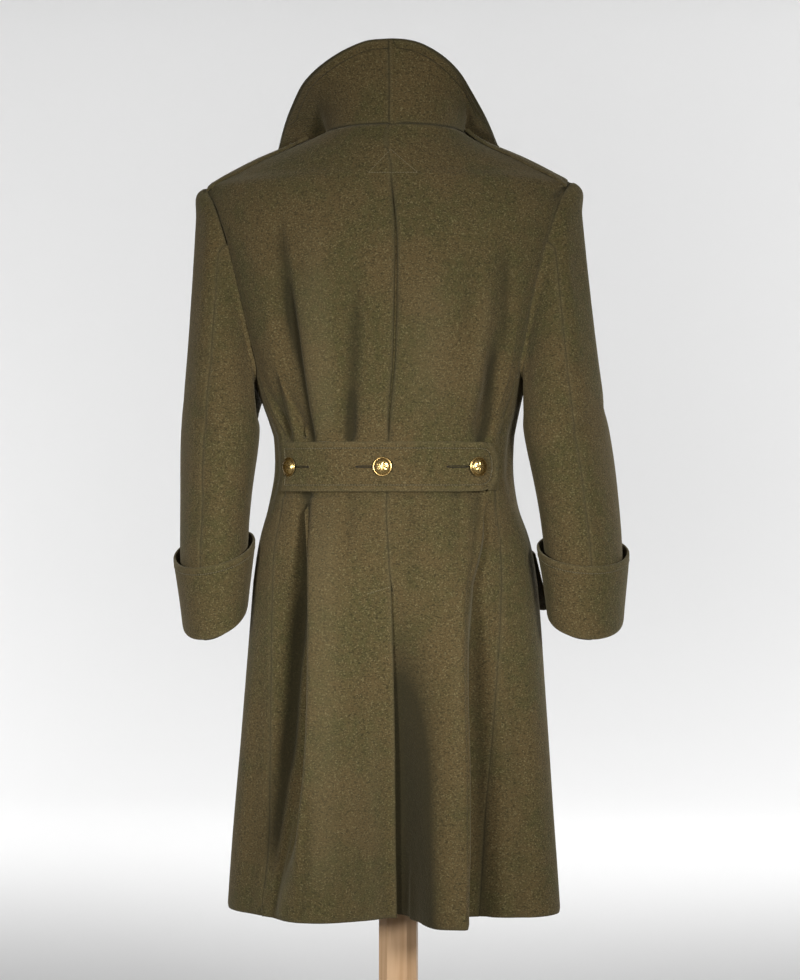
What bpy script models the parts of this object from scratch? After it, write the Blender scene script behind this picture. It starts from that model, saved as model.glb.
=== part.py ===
"""A wool military greatcoat on a limbless dress form, in metres, at its real size.

+Z is up and the floor is at zero. The coat's back looks towards -Y, and its wearer's right is +X.
Angles run round the body in degrees: 0 at the centre back, 90 at the wearer's right side, 180 at the
centre front and -90 at the wearer's left side. Every piece of cloth is a wall read from one surface,
the body, the sleeve or the collar, so that neighbours meet at their seams and never cross.
"""

import functools
import math

import bmesh
import bpy
import numpy as np
from mathutils import Matrix, Vector

LEFT, RIGHT = -1, 1
SIDE_NAMES = {LEFT: "left", RIGHT: "right"}

# Heights above the floor
HEM = 0.447
VENT_TOP = 0.871
BELT_LOW = 0.998
BELT_HIGH = 1.062
ARMPIT = 1.135
ARMHOLE_TURN = 1.160
SHOULDER = 1.404
PLEAT_TOP = 1.409
NECK = 1.476

# Cloth and seams
CLOTH = 0.0024
DOUBLE_CLOTH = 0.0036
GAP = 0.0003
LAP = 0.0004

# Sizes of the trimmings
BUTTON_RADIUS = 0.0125
BUTTON_DOME = 0.0058
BUTTON_SHANK_RADIUS = 0.0035
BUTTON_SHANK = 0.0022
STRAP_LIFT = {LEFT: 0.0007, RIGHT: 0.0009}
FRONT_BUTTON_HEIGHTS = (0.905, 1.030, 1.155, 1.280)
NECK_DROP = 0.076
FRONT_OVERLAP = 0.085
BUTTON_SHARE = 0.72
FRONT_NARROWING = 0.045
VENT_UNDERLAP = 0.037
BELT_END_ANGLE = 56.0
FLAP_TOP = 0.915
FLAP_RISE = 0.014
FLAP_DEEP = 0.083
FLAP_SWING = {LEFT: 0.002, RIGHT: 0.0095}
PLEAT_SLIT = 0.0026

# Stand
POST_SIDE = 0.050
POST_CHAMFER = 0.012
BASE_SIDE = 0.400
BASE_THICK = 0.028
BASE_BEVEL = 0.005
FORM_BOTTOM = 0.850

COLOURS = {
    "wool": ((0.105, 0.090, 0.048), 0.95, 0.0),
    "brass": ((0.72, 0.50, 0.20), 0.30, 1.0),
    "linen": ((0.62, 0.56, 0.46), 0.90, 0.0),
    "timber": ((0.62, 0.40, 0.22), 0.60, 0.0),
}

TORSO_COLUMNS = ("height", "half_width", "back", "front", "square", "centre_x", "neck_drop")
TORSO = (
    (0.447, 0.221, 0.150, 0.180, 2.00, -0.004, 0.000),
    (0.560, 0.214, 0.148, 0.174, 2.00, -0.004, 0.000),
    (0.680, 0.206, 0.147, 0.167, 2.05, -0.003, 0.000),
    (0.800, 0.197, 0.145, 0.158, 2.10, -0.003, 0.000),
    (0.876, 0.190, 0.140, 0.151, 2.15, -0.004, 0.000),
    (0.930, 0.181, 0.133, 0.144, 2.20, -0.005, 0.000),
    (0.980, 0.166, 0.123, 0.133, 2.20, -0.007, 0.000),
    (1.030, 0.159, 0.117, 0.126, 2.20, -0.006, 0.000),
    (1.063, 0.160, 0.117, 0.127, 2.25, -0.006, 0.000),
    (1.100, 0.168, 0.120, 0.132, 2.35, -0.008, 0.000),
    (1.135, 0.178, 0.124, 0.138, 2.40, -0.010, 0.000),
    (1.200, 0.191, 0.128, 0.142, 2.45, -0.011, 0.000),
    (1.260, 0.206, 0.130, 0.141, 2.45, -0.012, 0.002),
    (1.320, 0.222, 0.128, 0.134, 2.40, -0.012, 0.008),
    (1.360, 0.236, 0.123, 0.125, 2.20, -0.013, 0.016),
    (1.404, 0.2418, 0.114, 0.111, 1.75, -0.0150, 0.033),
    (1.418, 0.219, 0.110, 0.105, 1.55, -0.014, 0.040),
    (1.438, 0.180, 0.104, 0.098, 1.50, -0.014, 0.052),
    (1.458, 0.131, 0.097, 0.090, 1.60, -0.012, 0.064),
    (1.476, 0.092, 0.089, 0.080, 2.00, -0.004, 0.076),
)

# The skirt's centre stands proud between two folds that drop from the half belt, with a trough at the vent
SKIRT_COLUMNS = (
    "height", "left_edge", "right_edge", "left_proud", "right_proud", "left_soft", "right_soft",
    "left_sunk", "right_sunk", "trough",
)
SKIRT = (
    (0.447, 30.0, 25.6, 0.018, 0.042, 14.0, 3.4, 0.000, 0.048, 0.082),
    (0.500, 29.0, 26.0, 0.026, 0.042, 10.0, 3.4, 0.004, 0.045, 0.074),
    (0.560, 27.5, 26.8, 0.034, 0.041, 6.5, 3.5, 0.008, 0.040, 0.062),
    (0.640, 25.5, 27.0, 0.039, 0.039, 4.2, 3.8, 0.014, 0.033, 0.046),
    (0.720, 24.5, 26.8, 0.038, 0.035, 3.8, 4.5, 0.018, 0.024, 0.030),
    (0.800, 25.0, 27.0, 0.033, 0.029, 3.8, 6.0, 0.018, 0.015, 0.015),
    (0.871, 26.5, 29.0, 0.025, 0.020, 4.0, 7.0, 0.014, 0.008, 0.003),
    (0.930, 30.0, 37.0, 0.014, 0.011, 4.0, 5.5, 0.008, 0.004, 0.000),
    (0.975, 35.5, 45.0, 0.004, 0.004, 4.0, 4.0, 0.002, 0.001, 0.000),
    (0.990, 37.5, 49.0, 0.000, 0.000, 4.0, 4.0, 0.000, 0.000, 0.000),
)
SUNK_REACH = 32.0
TROUGH_ANGLE = 2.0
TROUGH_LEFT = 15.0
TROUGH_RIGHT = 8.0

# Soft troughs (below zero) and ridges in the body, each read between its low and its high end
CREASE_COLUMNS = (
    "low", "high", "low_angle", "high_angle", "low_width", "high_width", "low_depth", "high_depth",
)
CREASES = (
    (1.065, 1.340, -43.0, -34.0, 4.0, 11.0, -0.0100, -0.0020),
    (1.065, 1.340, 48.0, 47.0, 4.0, 10.0, -0.0090, -0.0020),
    (1.065, 1.180, -55.0, -63.0, 4.0, 6.0, -0.0070, -0.0020),
    (1.065, 1.230, -20.0, -16.0, 5.0, 9.0, -0.0030, -0.0008),
    (0.447, 0.930, 68.0, 66.0, 10.0, 8.0, 0.0110, 0.0010),
    (0.447, 0.930, -72.0, -62.0, 10.0, 8.0, 0.0090, 0.0010),
    (0.447, 0.930, 96.0, 92.0, 9.0, 7.0, -0.0100, -0.0010),
    (0.447, 0.930, -98.0, -93.0, 9.0, 7.0, -0.0090, -0.0010),
    (0.447, 0.900, 131.0, 128.0, 10.0, 8.0, 0.0090, 0.0010),
    (0.447, 0.900, -127.0, -126.0, 10.0, 8.0, 0.0100, 0.0010),
    (1.065, 1.280, 128.0, 122.0, 6.0, 12.0, -0.0060, -0.0010),
    (1.065, 1.280, -128.0, -122.0, 6.0, 12.0, -0.0060, -0.0010),
)
CREASE_FADE = 0.030
CREASE_START = 0.011
BACK_SHARES = (0, 0.12, 0.28, 0.48, 0.68, 0.86, 1.0)
BACK_LAST = len(BACK_SHARES) + 4

# Where the seams run round the body
SEAM_COLUMNS = ("height", "left_back", "right_back", "side_front", "centre_x")
SEAMS = (
    (0.447, 49.0, 37.3, 128.0, 0.0120),
    (0.660, 50.7, 43.0, 126.0, 0.0110),
    (0.871, 54.0, 50.2, 123.0, 0.0080),
    (0.930, 56.0, 53.0, 121.0, 0.0040),
    (0.995, 57.5, 57.8, 119.0, 0.0020),
    (1.030, 58.7, 59.5, 118.5, 0.0020),
    (1.063, 59.5, 60.3, 118.0, 0.0030),
    (1.100, 64.0, 63.5, 117.5, 0.0066),
    (1.160, 69.5, 69.5, 117.3, 0.0150),
    (1.300, 71.0, 71.0, 112.0, 0.0200),
    (1.409, 75.0, 75.0, 105.0, 0.0150),
    (1.476, 80.0, 80.0, 100.0, 0.0000),
)

ARMHOLE_COLUMNS = ("height", "back_reach", "front_reach")
ARMHOLE = (
    (1.160, 0.1740, 0.1655),
    (1.200, 0.1815, 0.1700),
    (1.260, 0.1945, 0.1810),
    (1.320, 0.2090, 0.1980),
    (1.360, 0.2210, 0.2160),
    (1.388, 0.2325, 0.2310),
    (1.404, 0.2418, 0.2418),
)

# The hanging sleeve below the armhole
SLEEVE_COLUMNS = (
    "height", "forward", "half_depth", "tilt", "left_out", "left_half", "right_out", "right_half",
)
SLEEVE = (
    (0.834, -0.046, 0.0640, 1.00, 0.2395, 0.0385, 0.2490, 0.0440),
    (0.880, -0.044, 0.0660, 0.90, 0.2400, 0.0420, 0.2480, 0.0470),
    (0.930, -0.041, 0.0690, 0.75, 0.2415, 0.0450, 0.2455, 0.0500),
    (0.985, -0.037, 0.0730, 0.50, 0.2400, 0.0470, 0.2395, 0.0515),
    (1.030, -0.036, 0.0770, 0.25, 0.2370, 0.0500, 0.2325, 0.0535),
    (1.075, -0.036, 0.0790, 0.00, 0.2345, 0.0525, 0.2245, 0.0545),
)
SLEEVE_HEAD_LOW = 1.075
SLEEVE_TOE_OUT = 15.0
HIND_SEAM = 54.0
FORE_SEAM = -135.0
SLEEVE_CAP = 0.0135
SLEEVE_FULLNESS = 0.0035
FORWARD_TILT = {LEFT: 0.46, RIGHT: 0.40}
INWARD_TILT = {LEFT: 0.34, RIGHT: 0.22}
SLEEVE_DOWNS = (
    0.0, 0.035, 0.09, 0.18, 0.30, 0.44, 0.60, 0.78, 0.95, 1.12, 1.30, 1.48, 1.63, 1.75, 1.87, 2.0,
)
CUFF_ROWS = 4
CUFF_STAND_OFF = 0.0055

# The turned-up collar's outer edge, from the centre back to the point
COLLAR_COLUMNS = ("share", "out", "along_y", "height")
COLLAR_EDGE = (
    (0.00, 0.000, -0.101, 1.582),
    (0.07, 0.022, -0.100, 1.581),
    (0.20, 0.060, -0.093, 1.567),
    (0.40, 0.099, -0.066, 1.538),
    (0.60, 0.120, -0.030, 1.510),
    (0.80, 0.137, 0.012, 1.484),
    (1.00, 0.151, 0.056, 1.456),
)
COLLAR_FLARE = {LEFT: 1.10, RIGHT: 0.90}
COLLAR_END_ANGLE = 172.3
COLLAR_LIFT = 0.0005
COLLAR_STANDING = 0.030
COLLAR_RISES = (0.0, 0.2, 0.4, 0.6, 0.8, 1.0)
COLLAR_CLOTH = 0.0022

BODY_HEIGHTS = (
    0.447, 0.490, 0.540, 0.600, 0.660, 0.720, 0.780, 0.830, 0.871, 0.883, 0.912, 0.942, 0.968, 0.993,
    1.027, 1.064, 1.076, 1.100, 1.130, 1.160, 1.190, 1.222, 1.256, 1.290, 1.324, 1.356, 1.384, 1.404,
    1.416, 1.430, 1.445, 1.461, 1.476,
)


def smooth_reading(positions, values, at):
    """A monotone cubic curve through a table's values, read at one place."""
    at = min(max(at, positions[0]), positions[-1])
    k = min(max(int(np.searchsorted(positions, at)) - 1, 0), len(positions) - 2)
    steps = np.diff(positions)
    slopes = np.diff(values) / steps

    def tangent(i):
        if i == 0 or i == len(positions) - 1:
            return slopes[0] if i == 0 else slopes[-1]
        before, after = slopes[i - 1], slopes[i]
        return 0.0 if before * after <= 0 else 2 * before * after / (before + after)

    span = steps[k]
    t = (at - positions[k]) / span
    start = (1 + 2 * t) * (1 - t) ** 2 * values[k] + t * (1 - t) ** 2 * span * tangent(k)
    end = t * t * (3 - 2 * t) * values[k + 1] + t * t * (t - 1) * span * tangent(k + 1)
    return float(start + end)


@functools.lru_cache(maxsize=None)
def row_at(table, columns, at):
    """Every column of a table, read smoothly at one place in its first column."""
    positions = np.array([row[0] for row in table])
    return {
        name: smooth_reading(positions, np.array([row[i] for row in table]), at)
        for i, name in enumerate(columns)
    }


def torso(height):
    return row_at(TORSO, TORSO_COLUMNS, round(height, 6))


def seams(height):
    return row_at(SEAMS, SEAM_COLUMNS, round(height, 6))


def smoothstep(t):
    t = min(max(t, 0.0), 1.0)
    return t * t * (3 - 2 * t)


def bell(distance, width):
    return math.exp(-((distance / width) ** 2))


def signed_power(value, power):
    return math.copysign(abs(value) ** power, value)


def skirt_relief(angle, height):
    """How far the skirt's centre stands out, its flanks beyond the folds and its trough go in."""
    if height >= SKIRT[-1][0]:
        return 0.0
    row = row_at(SKIRT, SKIRT_COLUMNS, round(height, 6))
    side = "left" if angle < 0 else "right"
    past_edge = abs(angle) - row[side + "_edge"]
    beyond = smoothstep(past_edge / row[side + "_soft"])
    proud = (row["left_proud"] + row["right_proud"]) / 2
    proud += (row[side + "_proud"] - proud) * smoothstep(abs(angle) / 15.0)
    sunk = row[side + "_sunk"] * beyond * (1 - smoothstep((past_edge - row[side + "_soft"]) / SUNK_REACH))
    from_trough = angle - TROUGH_ANGLE
    width = TROUGH_LEFT if from_trough < 0 else TROUGH_RIGHT
    return proud * (1 - beyond) - sunk - row["trough"] * bell(from_trough, width)


def crease_relief(angle, height):
    """The sum of the soft troughs and ridges at one place on the body."""
    total = 0.0
    for values in CREASES:
        crease = dict(zip(CREASE_COLUMNS, values))
        if not crease["low"] - CREASE_FADE < height < crease["high"] + CREASE_FADE:
            continue
        t = smoothstep((height - crease["low"]) / (crease["high"] - crease["low"]))
        middle = crease["low_angle"] + (crease["high_angle"] - crease["low_angle"]) * t
        width = crease["low_width"] + (crease["high_width"] - crease["low_width"]) * t
        depth = crease["low_depth"] + (crease["high_depth"] - crease["low_depth"]) * t
        fade = smoothstep((crease["high"] + CREASE_FADE - height) / (2 * CREASE_FADE))
        if crease["low"] > HEM:
            fade *= smoothstep((height - crease["low"]) / CREASE_START)
        total += depth * fade * bell(angle - middle, width)
    return total


def body_surface(angle, height, creased=True):
    """A point on the outside of the coat's body, and the flat direction that leads out of it."""
    ring = torso(height)
    across = math.sin(math.radians(angle))
    along = math.cos(math.radians(angle))
    power = 2 / ring["square"]
    depth = ring["back"] if along > 0 else ring["front"]
    x = ring["half_width"] * signed_power(across, power)
    y = -depth * signed_power(along, power)
    if creased:
        out = np.array([
            signed_power(x / ring["half_width"], ring["square"] - 1) / ring["half_width"],
            signed_power(y / depth, ring["square"] - 1) / depth,
        ])
        out /= np.linalg.norm(out)
        relief = skirt_relief(angle, height) + crease_relief(angle, height)
        x += out[0] * relief
        y += out[1] * relief
    front_share = ((1 - along) / 2) ** 4
    return np.array([ring["centre_x"] + x, y, height - ring["neck_drop"] * front_share])


def surface_normal(surface, first, second, steps):
    """The outward normal of a surface of two values, by small steps to each side."""
    da, db = steps
    along = surface(first + da, second) - surface(first - da, second)
    up = surface(first, second + db) - surface(first, second - db)
    normal = np.cross(along, up)
    return normal / np.linalg.norm(normal)


@functools.lru_cache(maxsize=None)
def body_frame(angle, height, creased=True):
    def surface(a, h):
        return body_surface(a, h, creased)

    inside = min(max(height, HEM + 0.002), NECK - 0.002)
    return surface(angle, height), surface_normal(surface, angle, inside, (0.4, 0.0015))


def body_point(angle, height, lift=0.0, creased=True):
    """A point on the coat's body, moved out by lift along the surface's normal."""
    point, normal = body_frame(round(angle, 5), round(height, 6), creased)
    return point + normal * lift


def angle_at_reach(height, reach):
    """The angle, from the centre back or front, where a ring is this far out from its middle."""
    ring = torso(height)
    share = min(abs(reach) / ring["half_width"], 1.0)
    return math.copysign(math.degrees(math.asin(share ** (ring["square"] / 2))), reach)


def centre_angle(height):
    """Where the centre back seam runs."""
    return angle_at_reach(height, seams(height)["centre_x"])


def armhole_angle(height, edge):
    """The armhole's angle on its back or front edge, between the underarm and the shoulder."""
    reach = row_at(ARMHOLE, ARMHOLE_COLUMNS, round(height, 6))[edge + "_reach"]
    angle = angle_at_reach(height, reach)
    return angle if edge == "back" else 180 - angle


def back_limit(height, side):
    """The back panel's outer edge: the side seam, then the armhole, then the shoulder seam."""
    if height <= ARMHOLE_TURN:
        return seams(height)[SIDE_NAMES[side] + "_back"]
    return armhole_angle(height, "back") if height < SHOULDER else 90.0


def front_limit(height):
    if height <= ARMHOLE_TURN:
        return seams(height)["side_front"]
    return armhole_angle(height, "front") if height < SHOULDER else 90.0


def material(name):
    """A Principled material from the colour table."""
    if name in bpy.data.materials:
        return bpy.data.materials[name]
    colour, roughness, metallic = COLOURS[name]
    made = bpy.data.materials.new(name)
    made.use_nodes = True
    shader = made.node_tree.nodes["Principled BSDF"]
    shader.inputs["Base Color"].default_value = (*colour, 1.0)
    shader.inputs["Roughness"].default_value = roughness
    shader.inputs["Metallic"].default_value = metallic
    made.diffuse_color = (*colour, 1.0)
    return made


def add_mesh(name, mesh, collection, look):
    mesh.materials.append(material(look))
    made = bpy.data.objects.new(name, mesh)
    collection.objects.link(made)
    mesh.shade_smooth()
    mesh.set_sharp_from_angle(angle=math.radians(35))
    return made


def pulled_in(grid, closed=False):
    """A grid of points with its edges drawn in by half a seam's gap."""
    grid = np.array(grid, float)

    def drawn(edge, beside):
        away = beside - edge
        return edge + away * (GAP / 2 / np.maximum(np.linalg.norm(away, axis=-1, keepdims=True), 1e-9))

    first, last = drawn(grid[0], grid[1]), drawn(grid[-1], grid[-2])
    grid[0], grid[-1] = first, last
    if not closed:
        first, last = drawn(grid[:, 0], grid[:, 1]), drawn(grid[:, -1], grid[:, -2])
        grid[:, 0], grid[:, -1] = first, last
    return grid


def add_wall(name, outer, inner, collection, look="wool", closed=False, left_out=()):
    """A closed wall lofted through rows of outer points and the inner points behind them.

    Rows run upwards and each row runs towards the wearer's right as seen from behind, or, where
    closed is true, right round. Every cell is cut along the same diagonal, so that walls read from
    the same points lie on each other without crossing. Cells named in left_out aren't made.
    """
    outer, inner = pulled_in(outer, closed), pulled_in(inner, closed)
    rows, columns = outer.shape[:2]
    cells = [
        (i, j)
        for i in range(rows - 1)
        for j in range(columns if closed else columns - 1)
        if (i, j) not in left_out
    ]
    rounds = [
        [(i, j), (i, (j + 1) % columns), (i + 1, (j + 1) % columns), (i + 1, j)] for i, j in cells
    ]
    edges = {(a, b) for cell in rounds for a, b in zip(cell, cell[1:] + cell[:1])}
    built = bmesh.new()
    used = {place for cell in rounds for place in cell}
    front = {place: built.verts.new(outer[place]) for place in sorted(used)}
    behind = {place: built.verts.new(inner[place]) for place in sorted(used)}
    for a, b, c, d in rounds:
        for corners in ((a, b, c), (a, c, d)):
            built.faces.new([front[place] for place in corners])
            built.faces.new([behind[place] for place in reversed(corners)])
    for a, b in sorted(edges - {(b, a) for a, b in edges}):
        far = behind[b] if a < b else behind[a]
        near = front[a] if a < b else front[b]
        built.faces.new((front[b], front[a], far))
        built.faces.new((near, behind[a], behind[b]))
    bmesh.ops.recalc_face_normals(built, faces=built.faces)
    mesh = bpy.data.meshes.new(name)
    built.to_mesh(mesh)
    built.free()
    return add_mesh(name, mesh, collection, look)


def add_body_piece(name, cells, collection, thickness=CLOTH, left_out=()):
    """A wall on the body, from rows of (angle, height, lift) cells. Lift is its inner face's."""
    inner = [[body_point(a, h, lift) for a, h, lift in row] for row in cells]
    outer = [[body_point(a, h, lift + thickness) for a, h, lift in row] for row in cells]
    return add_wall(name, outer, inner, collection, left_out=left_out)


def shares_between(start, end, shares):
    return [start + (end - start) * s for s in shares]


def back_angles(height, side, start):
    """A back panel's columns: dense at its fold, from the centre to its outer edge."""
    limit = back_limit(height, side)
    row = row_at(SKIRT, SKIRT_COLUMNS, round(min(height, SKIRT[-1][0]), 6))
    edge = row[SIDE_NAMES[side] + "_edge"]
    soft = row[SIDE_NAMES[side] + "_soft"]
    if height > SKIRT[-1][0]:
        edge *= limit / back_limit(SKIRT[-1][0], side)
    inner = shares_between(side * start, edge, BACK_SHARES)
    room = limit - edge
    step = min(soft, room * 0.6)
    outer = [edge + step * 0.5, edge + step]
    outer += shares_between(edge + step, limit, (0.34, 0.67, 1.0))
    return [side * angle for angle in inner + outer]


def slit_angle(height):
    """Half of the open centre pleat, between the half belt and the stitched triangle."""
    if not BELT_HIGH < height < PLEAT_TOP:
        return 0.0
    opening = math.sin(math.pi * (height - BELT_HIGH) / (PLEAT_TOP - BELT_HIGH)) ** 0.5
    return math.degrees(PLEAT_SLIT / 2 * opening / torso(height)["half_width"])


def side_angles(height, side):
    limits = back_limit(height, side), seams(height)["side_front"]
    return [side * angle for angle in shares_between(*limits, (0, 0.2, 0.4, 0.6, 0.8, 1.0))]


def front_angles(height, side):
    """A front's columns, which pass the centre front. Both fronts share those of the overlap."""
    past = angle_at_reach(height, FRONT_OVERLAP - FRONT_NARROWING * smoothstep((height - 1.33) / (NECK - 1.33)))
    angles = shares_between(front_limit(height), 180 - past - 6.0, (0, 0.25, 0.5, 0.75, 1.0))
    angles += [180 + past * share for share in (-1.0, -BUTTON_SHARE, -0.3, 0.3, BUTTON_SHARE, 1.0)]
    return [side * angle for angle in angles]


@functools.lru_cache(maxsize=None)
def ring_columns(row, side):
    """One side's columns at a row, from the centre back to the front's edge or to the armhole."""
    height = BODY_HEIGHTS[row]
    columns = back_angles(height, side, centre_angle(height) + side * slit_angle(height))
    if height <= ARMHOLE_TURN:
        columns = columns + side_angles(height, side)[1:] + front_angles(height, side)[1:]
    return columns


def row_share(height):
    """The row below a height and how far the height is towards the next."""
    row = min(max(int(np.searchsorted(BODY_HEIGHTS, height, side="right")) - 1, 0), len(BODY_HEIGHTS) - 2)
    return row, (height - BODY_HEIGHTS[row]) / (BODY_HEIGHTS[row + 1] - BODY_HEIGHTS[row])


def columns_at(height, side):
    """The columns where the panels' facets cross a height."""
    row, share = row_share(height)
    pairs = zip(ring_columns(row, side), ring_columns(row + 1, side))
    return [low + (high - low) * share for low, high in pairs]


def laid_point(angle, height, lift):
    """A point on the panels' own facets, moved out: what lies on a panel is made from these."""
    side = RIGHT if angle >= centre_angle(height) else LEFT
    row, up = row_share(height)
    columns = columns_at(height, side)
    j = int(np.searchsorted([side * c for c in columns], side * angle, side="right")) - 1
    j = min(max(j, 0), len(columns) - 2)
    along = (angle - columns[j]) / (columns[j + 1] - columns[j])
    corners = [
        [body_point(ring_columns(row + i, side)[j + k], BODY_HEIGHTS[row + i], lift) for k in (0, 1)]
        for i in (0, 1)
    ]
    (near_low, far_low), (near_high, far_high) = corners
    if side == LEFT:
        near_low, far_low, near_high, far_high = far_low, near_low, far_high, near_high
        along = 1 - along
    if along >= up:
        return near_low + (far_low - near_low) * along + (far_high - far_low) * up
    return near_low + (near_high - near_low) * up + (far_high - near_high) * along


def add_laid_piece(name, cells, collection, thickness=DOUBLE_CLOTH):
    """A wall lying on the panels, from rows of (angle, height, lift) cells."""
    inner = [[laid_point(a, h, lift) for a, h, lift in row] for row in cells]
    outer = [[laid_point(a, h, lift + thickness) for a, h, lift in row] for row in cells]
    return add_wall(name, outer, inner, collection)


def back_panel(side, collection):
    """One back panel: centre seam, pleat edge or vent inside, side seam and armhole outside.

    The right one runs on under the left one below the vent's top, as a tab three columns wide.
    """
    cells, left_out = [], set()
    for i, height in enumerate(BODY_HEIGHTS):
        angles = ring_columns(i, side)[:BACK_LAST + 1]
        row = [(angle, height, -CLOTH) for angle in angles]
        if side == RIGHT:
            beneath = ring_columns(i, LEFT)
            tab_end = angle_at_reach(height, seams(height)["centre_x"] - VENT_UNDERLAP)
            under = -2 * CLOTH - LAP
            tab = [(a, height, under) for a in (tab_end, beneath[2], beneath[1])]
            seam_edge = math.degrees(GAP / 2 / torso(height)["half_width"])
            vented = height <= VENT_TOP
            row[0] = (angles[0] if vented else angles[0] + seam_edge, height, under if vented else -CLOTH)
            row = tab + row
            if not height < VENT_TOP:
                left_out |= {(i, 0), (i, 1), (i, 2)}
        cells.append(row if side == RIGHT else row[::-1])
    add_body_piece("back_" + SIDE_NAMES[side], cells, collection, left_out=left_out)


def underarm_height(angle, height):
    """The side panel's rows dip under the armhole."""
    dips = {1.160: ARMHOLE_TURN - ARMPIT, 1.130: 0.013, 1.100: 0.005}
    low, high = seams(height)["right_back"], seams(height)["side_front"]
    from_middle = (abs(angle) - (low + high) / 2) / ((high - low) / 2)
    return height - dips.get(height, 0.0) * (1 - from_middle**2)


def side_panel(side, collection):
    cells = []
    for height in (h for h in BODY_HEIGHTS if h <= ARMHOLE_TURN):
        row = [(a, underarm_height(a, height), -CLOTH) for a in side_angles(height, side)]
        cells.append(row if side == RIGHT else row[::-1])
    add_body_piece("side_" + SIDE_NAMES[side], cells, collection)


def front_panel(side, collection):
    """A double-breasted front. The left one passes over the right one at the centre."""
    cells = []
    for height in BODY_HEIGHTS:
        angles = front_angles(height, side)
        lifts = [0.0] * 5 + [CLOTH + LAP if side == LEFT else 0.0] * 6
        row = [(angle, height, lift - CLOTH) for angle, lift in zip(angles, lifts)]
        cells.append(row if side == RIGHT else row[::-1])
    add_body_piece("front_" + SIDE_NAMES[side], cells, collection)


def pleat_underlay(collection):
    """The strip that closes the centre pleat from behind, down to the half belt."""
    cells = []
    for i, height in enumerate(BODY_HEIGHTS):
        if 1.02 < height < SHOULDER:
            left, right = ring_columns(i, LEFT)[2:0:-1], ring_columns(i, RIGHT)[1:3]
            angles = [*left, centre_angle(height), *right]
            cells.append([(a, height, -2 * CLOTH - LAP) for a in angles])
    add_body_piece("pleat_underlay", cells, collection)


def belt_lift(angle):
    """The half belt rises over the short end that it buttons to."""
    return LAP + (CLOTH + 2 * LAP) * smoothstep((angle - 35.0) / 6.0)


def half_belt(collection):
    """The half belt, square at the left seam and round at its right end."""
    middle, half = (BELT_LOW + BELT_HIGH) / 2, (BELT_HIGH - BELT_LOW) / 2
    cells = []
    for share in (-1.0, -0.62, 0.0, 0.62, 1.0):
        height = middle + half * share
        row = [(a, height, belt_lift(a)) for a in columns_at(height, LEFT)[BACK_LAST:0:-1]]
        row += [(a, height, belt_lift(a)) for a in columns_at(height, RIGHT)[:6]]
        start = row[-1][0]
        for past in (0.30, 0.58, 0.80, 0.94, 1.0):
            angle = start + (BELT_END_ANGLE - start) * past
            tall = max(math.sqrt(1 - past**2.6), 0.16)
            row.append((angle, middle + half * share * tall, belt_lift(angle)))
        cells.append(row)
    add_laid_piece("half_belt", cells, collection)


def belt_end(collection):
    """The short end sewn into the right side seam, under the half belt."""
    cells = []
    for share in (0.03, 0.5, 0.97):
        height = BELT_LOW + (BELT_HIGH - BELT_LOW) * share
        cells.append([(a, height, LAP) for a in columns_at(height, RIGHT)[5:BACK_LAST + 1]])
    add_laid_piece("belt_end", cells, collection, CLOTH)


def pocket_flap(side, collection):
    """A flap on the hip whose rear lower corner swings out from the body."""
    cells = []
    for down in (1.0, 0.66, 0.33, 0.0):
        row = []
        for share, column in zip((0.0, 0.3, 0.55, 0.78, 1.0), range(BACK_LAST + 3, BACK_LAST + 8)):
            height = FLAP_TOP + FLAP_RISE * share - FLAP_DEEP * down
            corner = 0.010 * down**2 * (1 - share) ** 6
            swing = FLAP_SWING[side] * down**1.5 * (1 - 0.75 * share)
            row.append((columns_at(height, side)[column], height + corner, 0.0008 + swing))
        cells.append(row if side == RIGHT else row[::-1])
    add_laid_piece("flap_" + SIDE_NAMES[side], cells, collection)


@functools.lru_cache(maxsize=None)
def armhole_line(side):
    """The panels' own corners round the armhole as (turn, outer point, inner point) rows.

    Turn is -180 and 180 at the underarm, 0 at the shoulder, above zero behind and below it in front.
    """
    turning = [h for h in BODY_HEIGHTS if ARMHOLE_TURN <= h < SHOULDER]
    places = [(side * back_limit(h, side), h) for h in turning]
    places += [(side * 90.0, SHOULDER)]
    places += [(side * front_limit(h), h) for h in turning[::-1]]
    beneath = side_angles(ARMHOLE_TURN, side)[-2:0:-1]
    places += [(a, underarm_height(a, ARMHOLE_TURN)) for a in beneath]
    outer = np.array([body_point(a, h) for a, h in places])
    inner = np.array([body_point(a, h, -CLOTH) for a, h in places])
    steps = np.linalg.norm(np.roll(outer, -1, axis=0) - outer, axis=1)
    along = np.concatenate([[0.0], np.cumsum(steps)])[:-1]
    top = len(turning)
    bottom = top * 2 + 1 + len(beneath) / 2 - 0.5
    low = np.interp(bottom, range(len(along) + 1), [*along, steps.sum()])
    turns = []
    for i, reached in enumerate(along):
        if i <= top:
            turns.append(180 * (along[top] - reached) / (along[top] + steps.sum() - low))
        elif i <= bottom:
            turns.append(-180 * (reached - along[top]) / (low - along[top]))
        else:
            turns.append(180 - 180 * (reached - low) / (along[top] + steps.sum() - low))
    order = np.argsort(turns)
    return np.array(turns)[order], outer[order], inner[order]


def read_round(turns, points, turn):
    """A closed run of points read in line at one turn."""
    turn = (turn + 180.0) % 360.0 - 180.0
    turns = np.concatenate([[turns[-1] - 360], turns, [turns[0] + 360]])
    points = np.concatenate([points[-1:], points, points[:1]])
    return np.array([np.interp(turn, turns, points[:, i]) for i in range(3)])


def armhole_point(turn, side, inner=False):
    turns, outside, inside = armhole_line(side)
    return read_round(turns, inside if inner else outside, turn)


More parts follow.
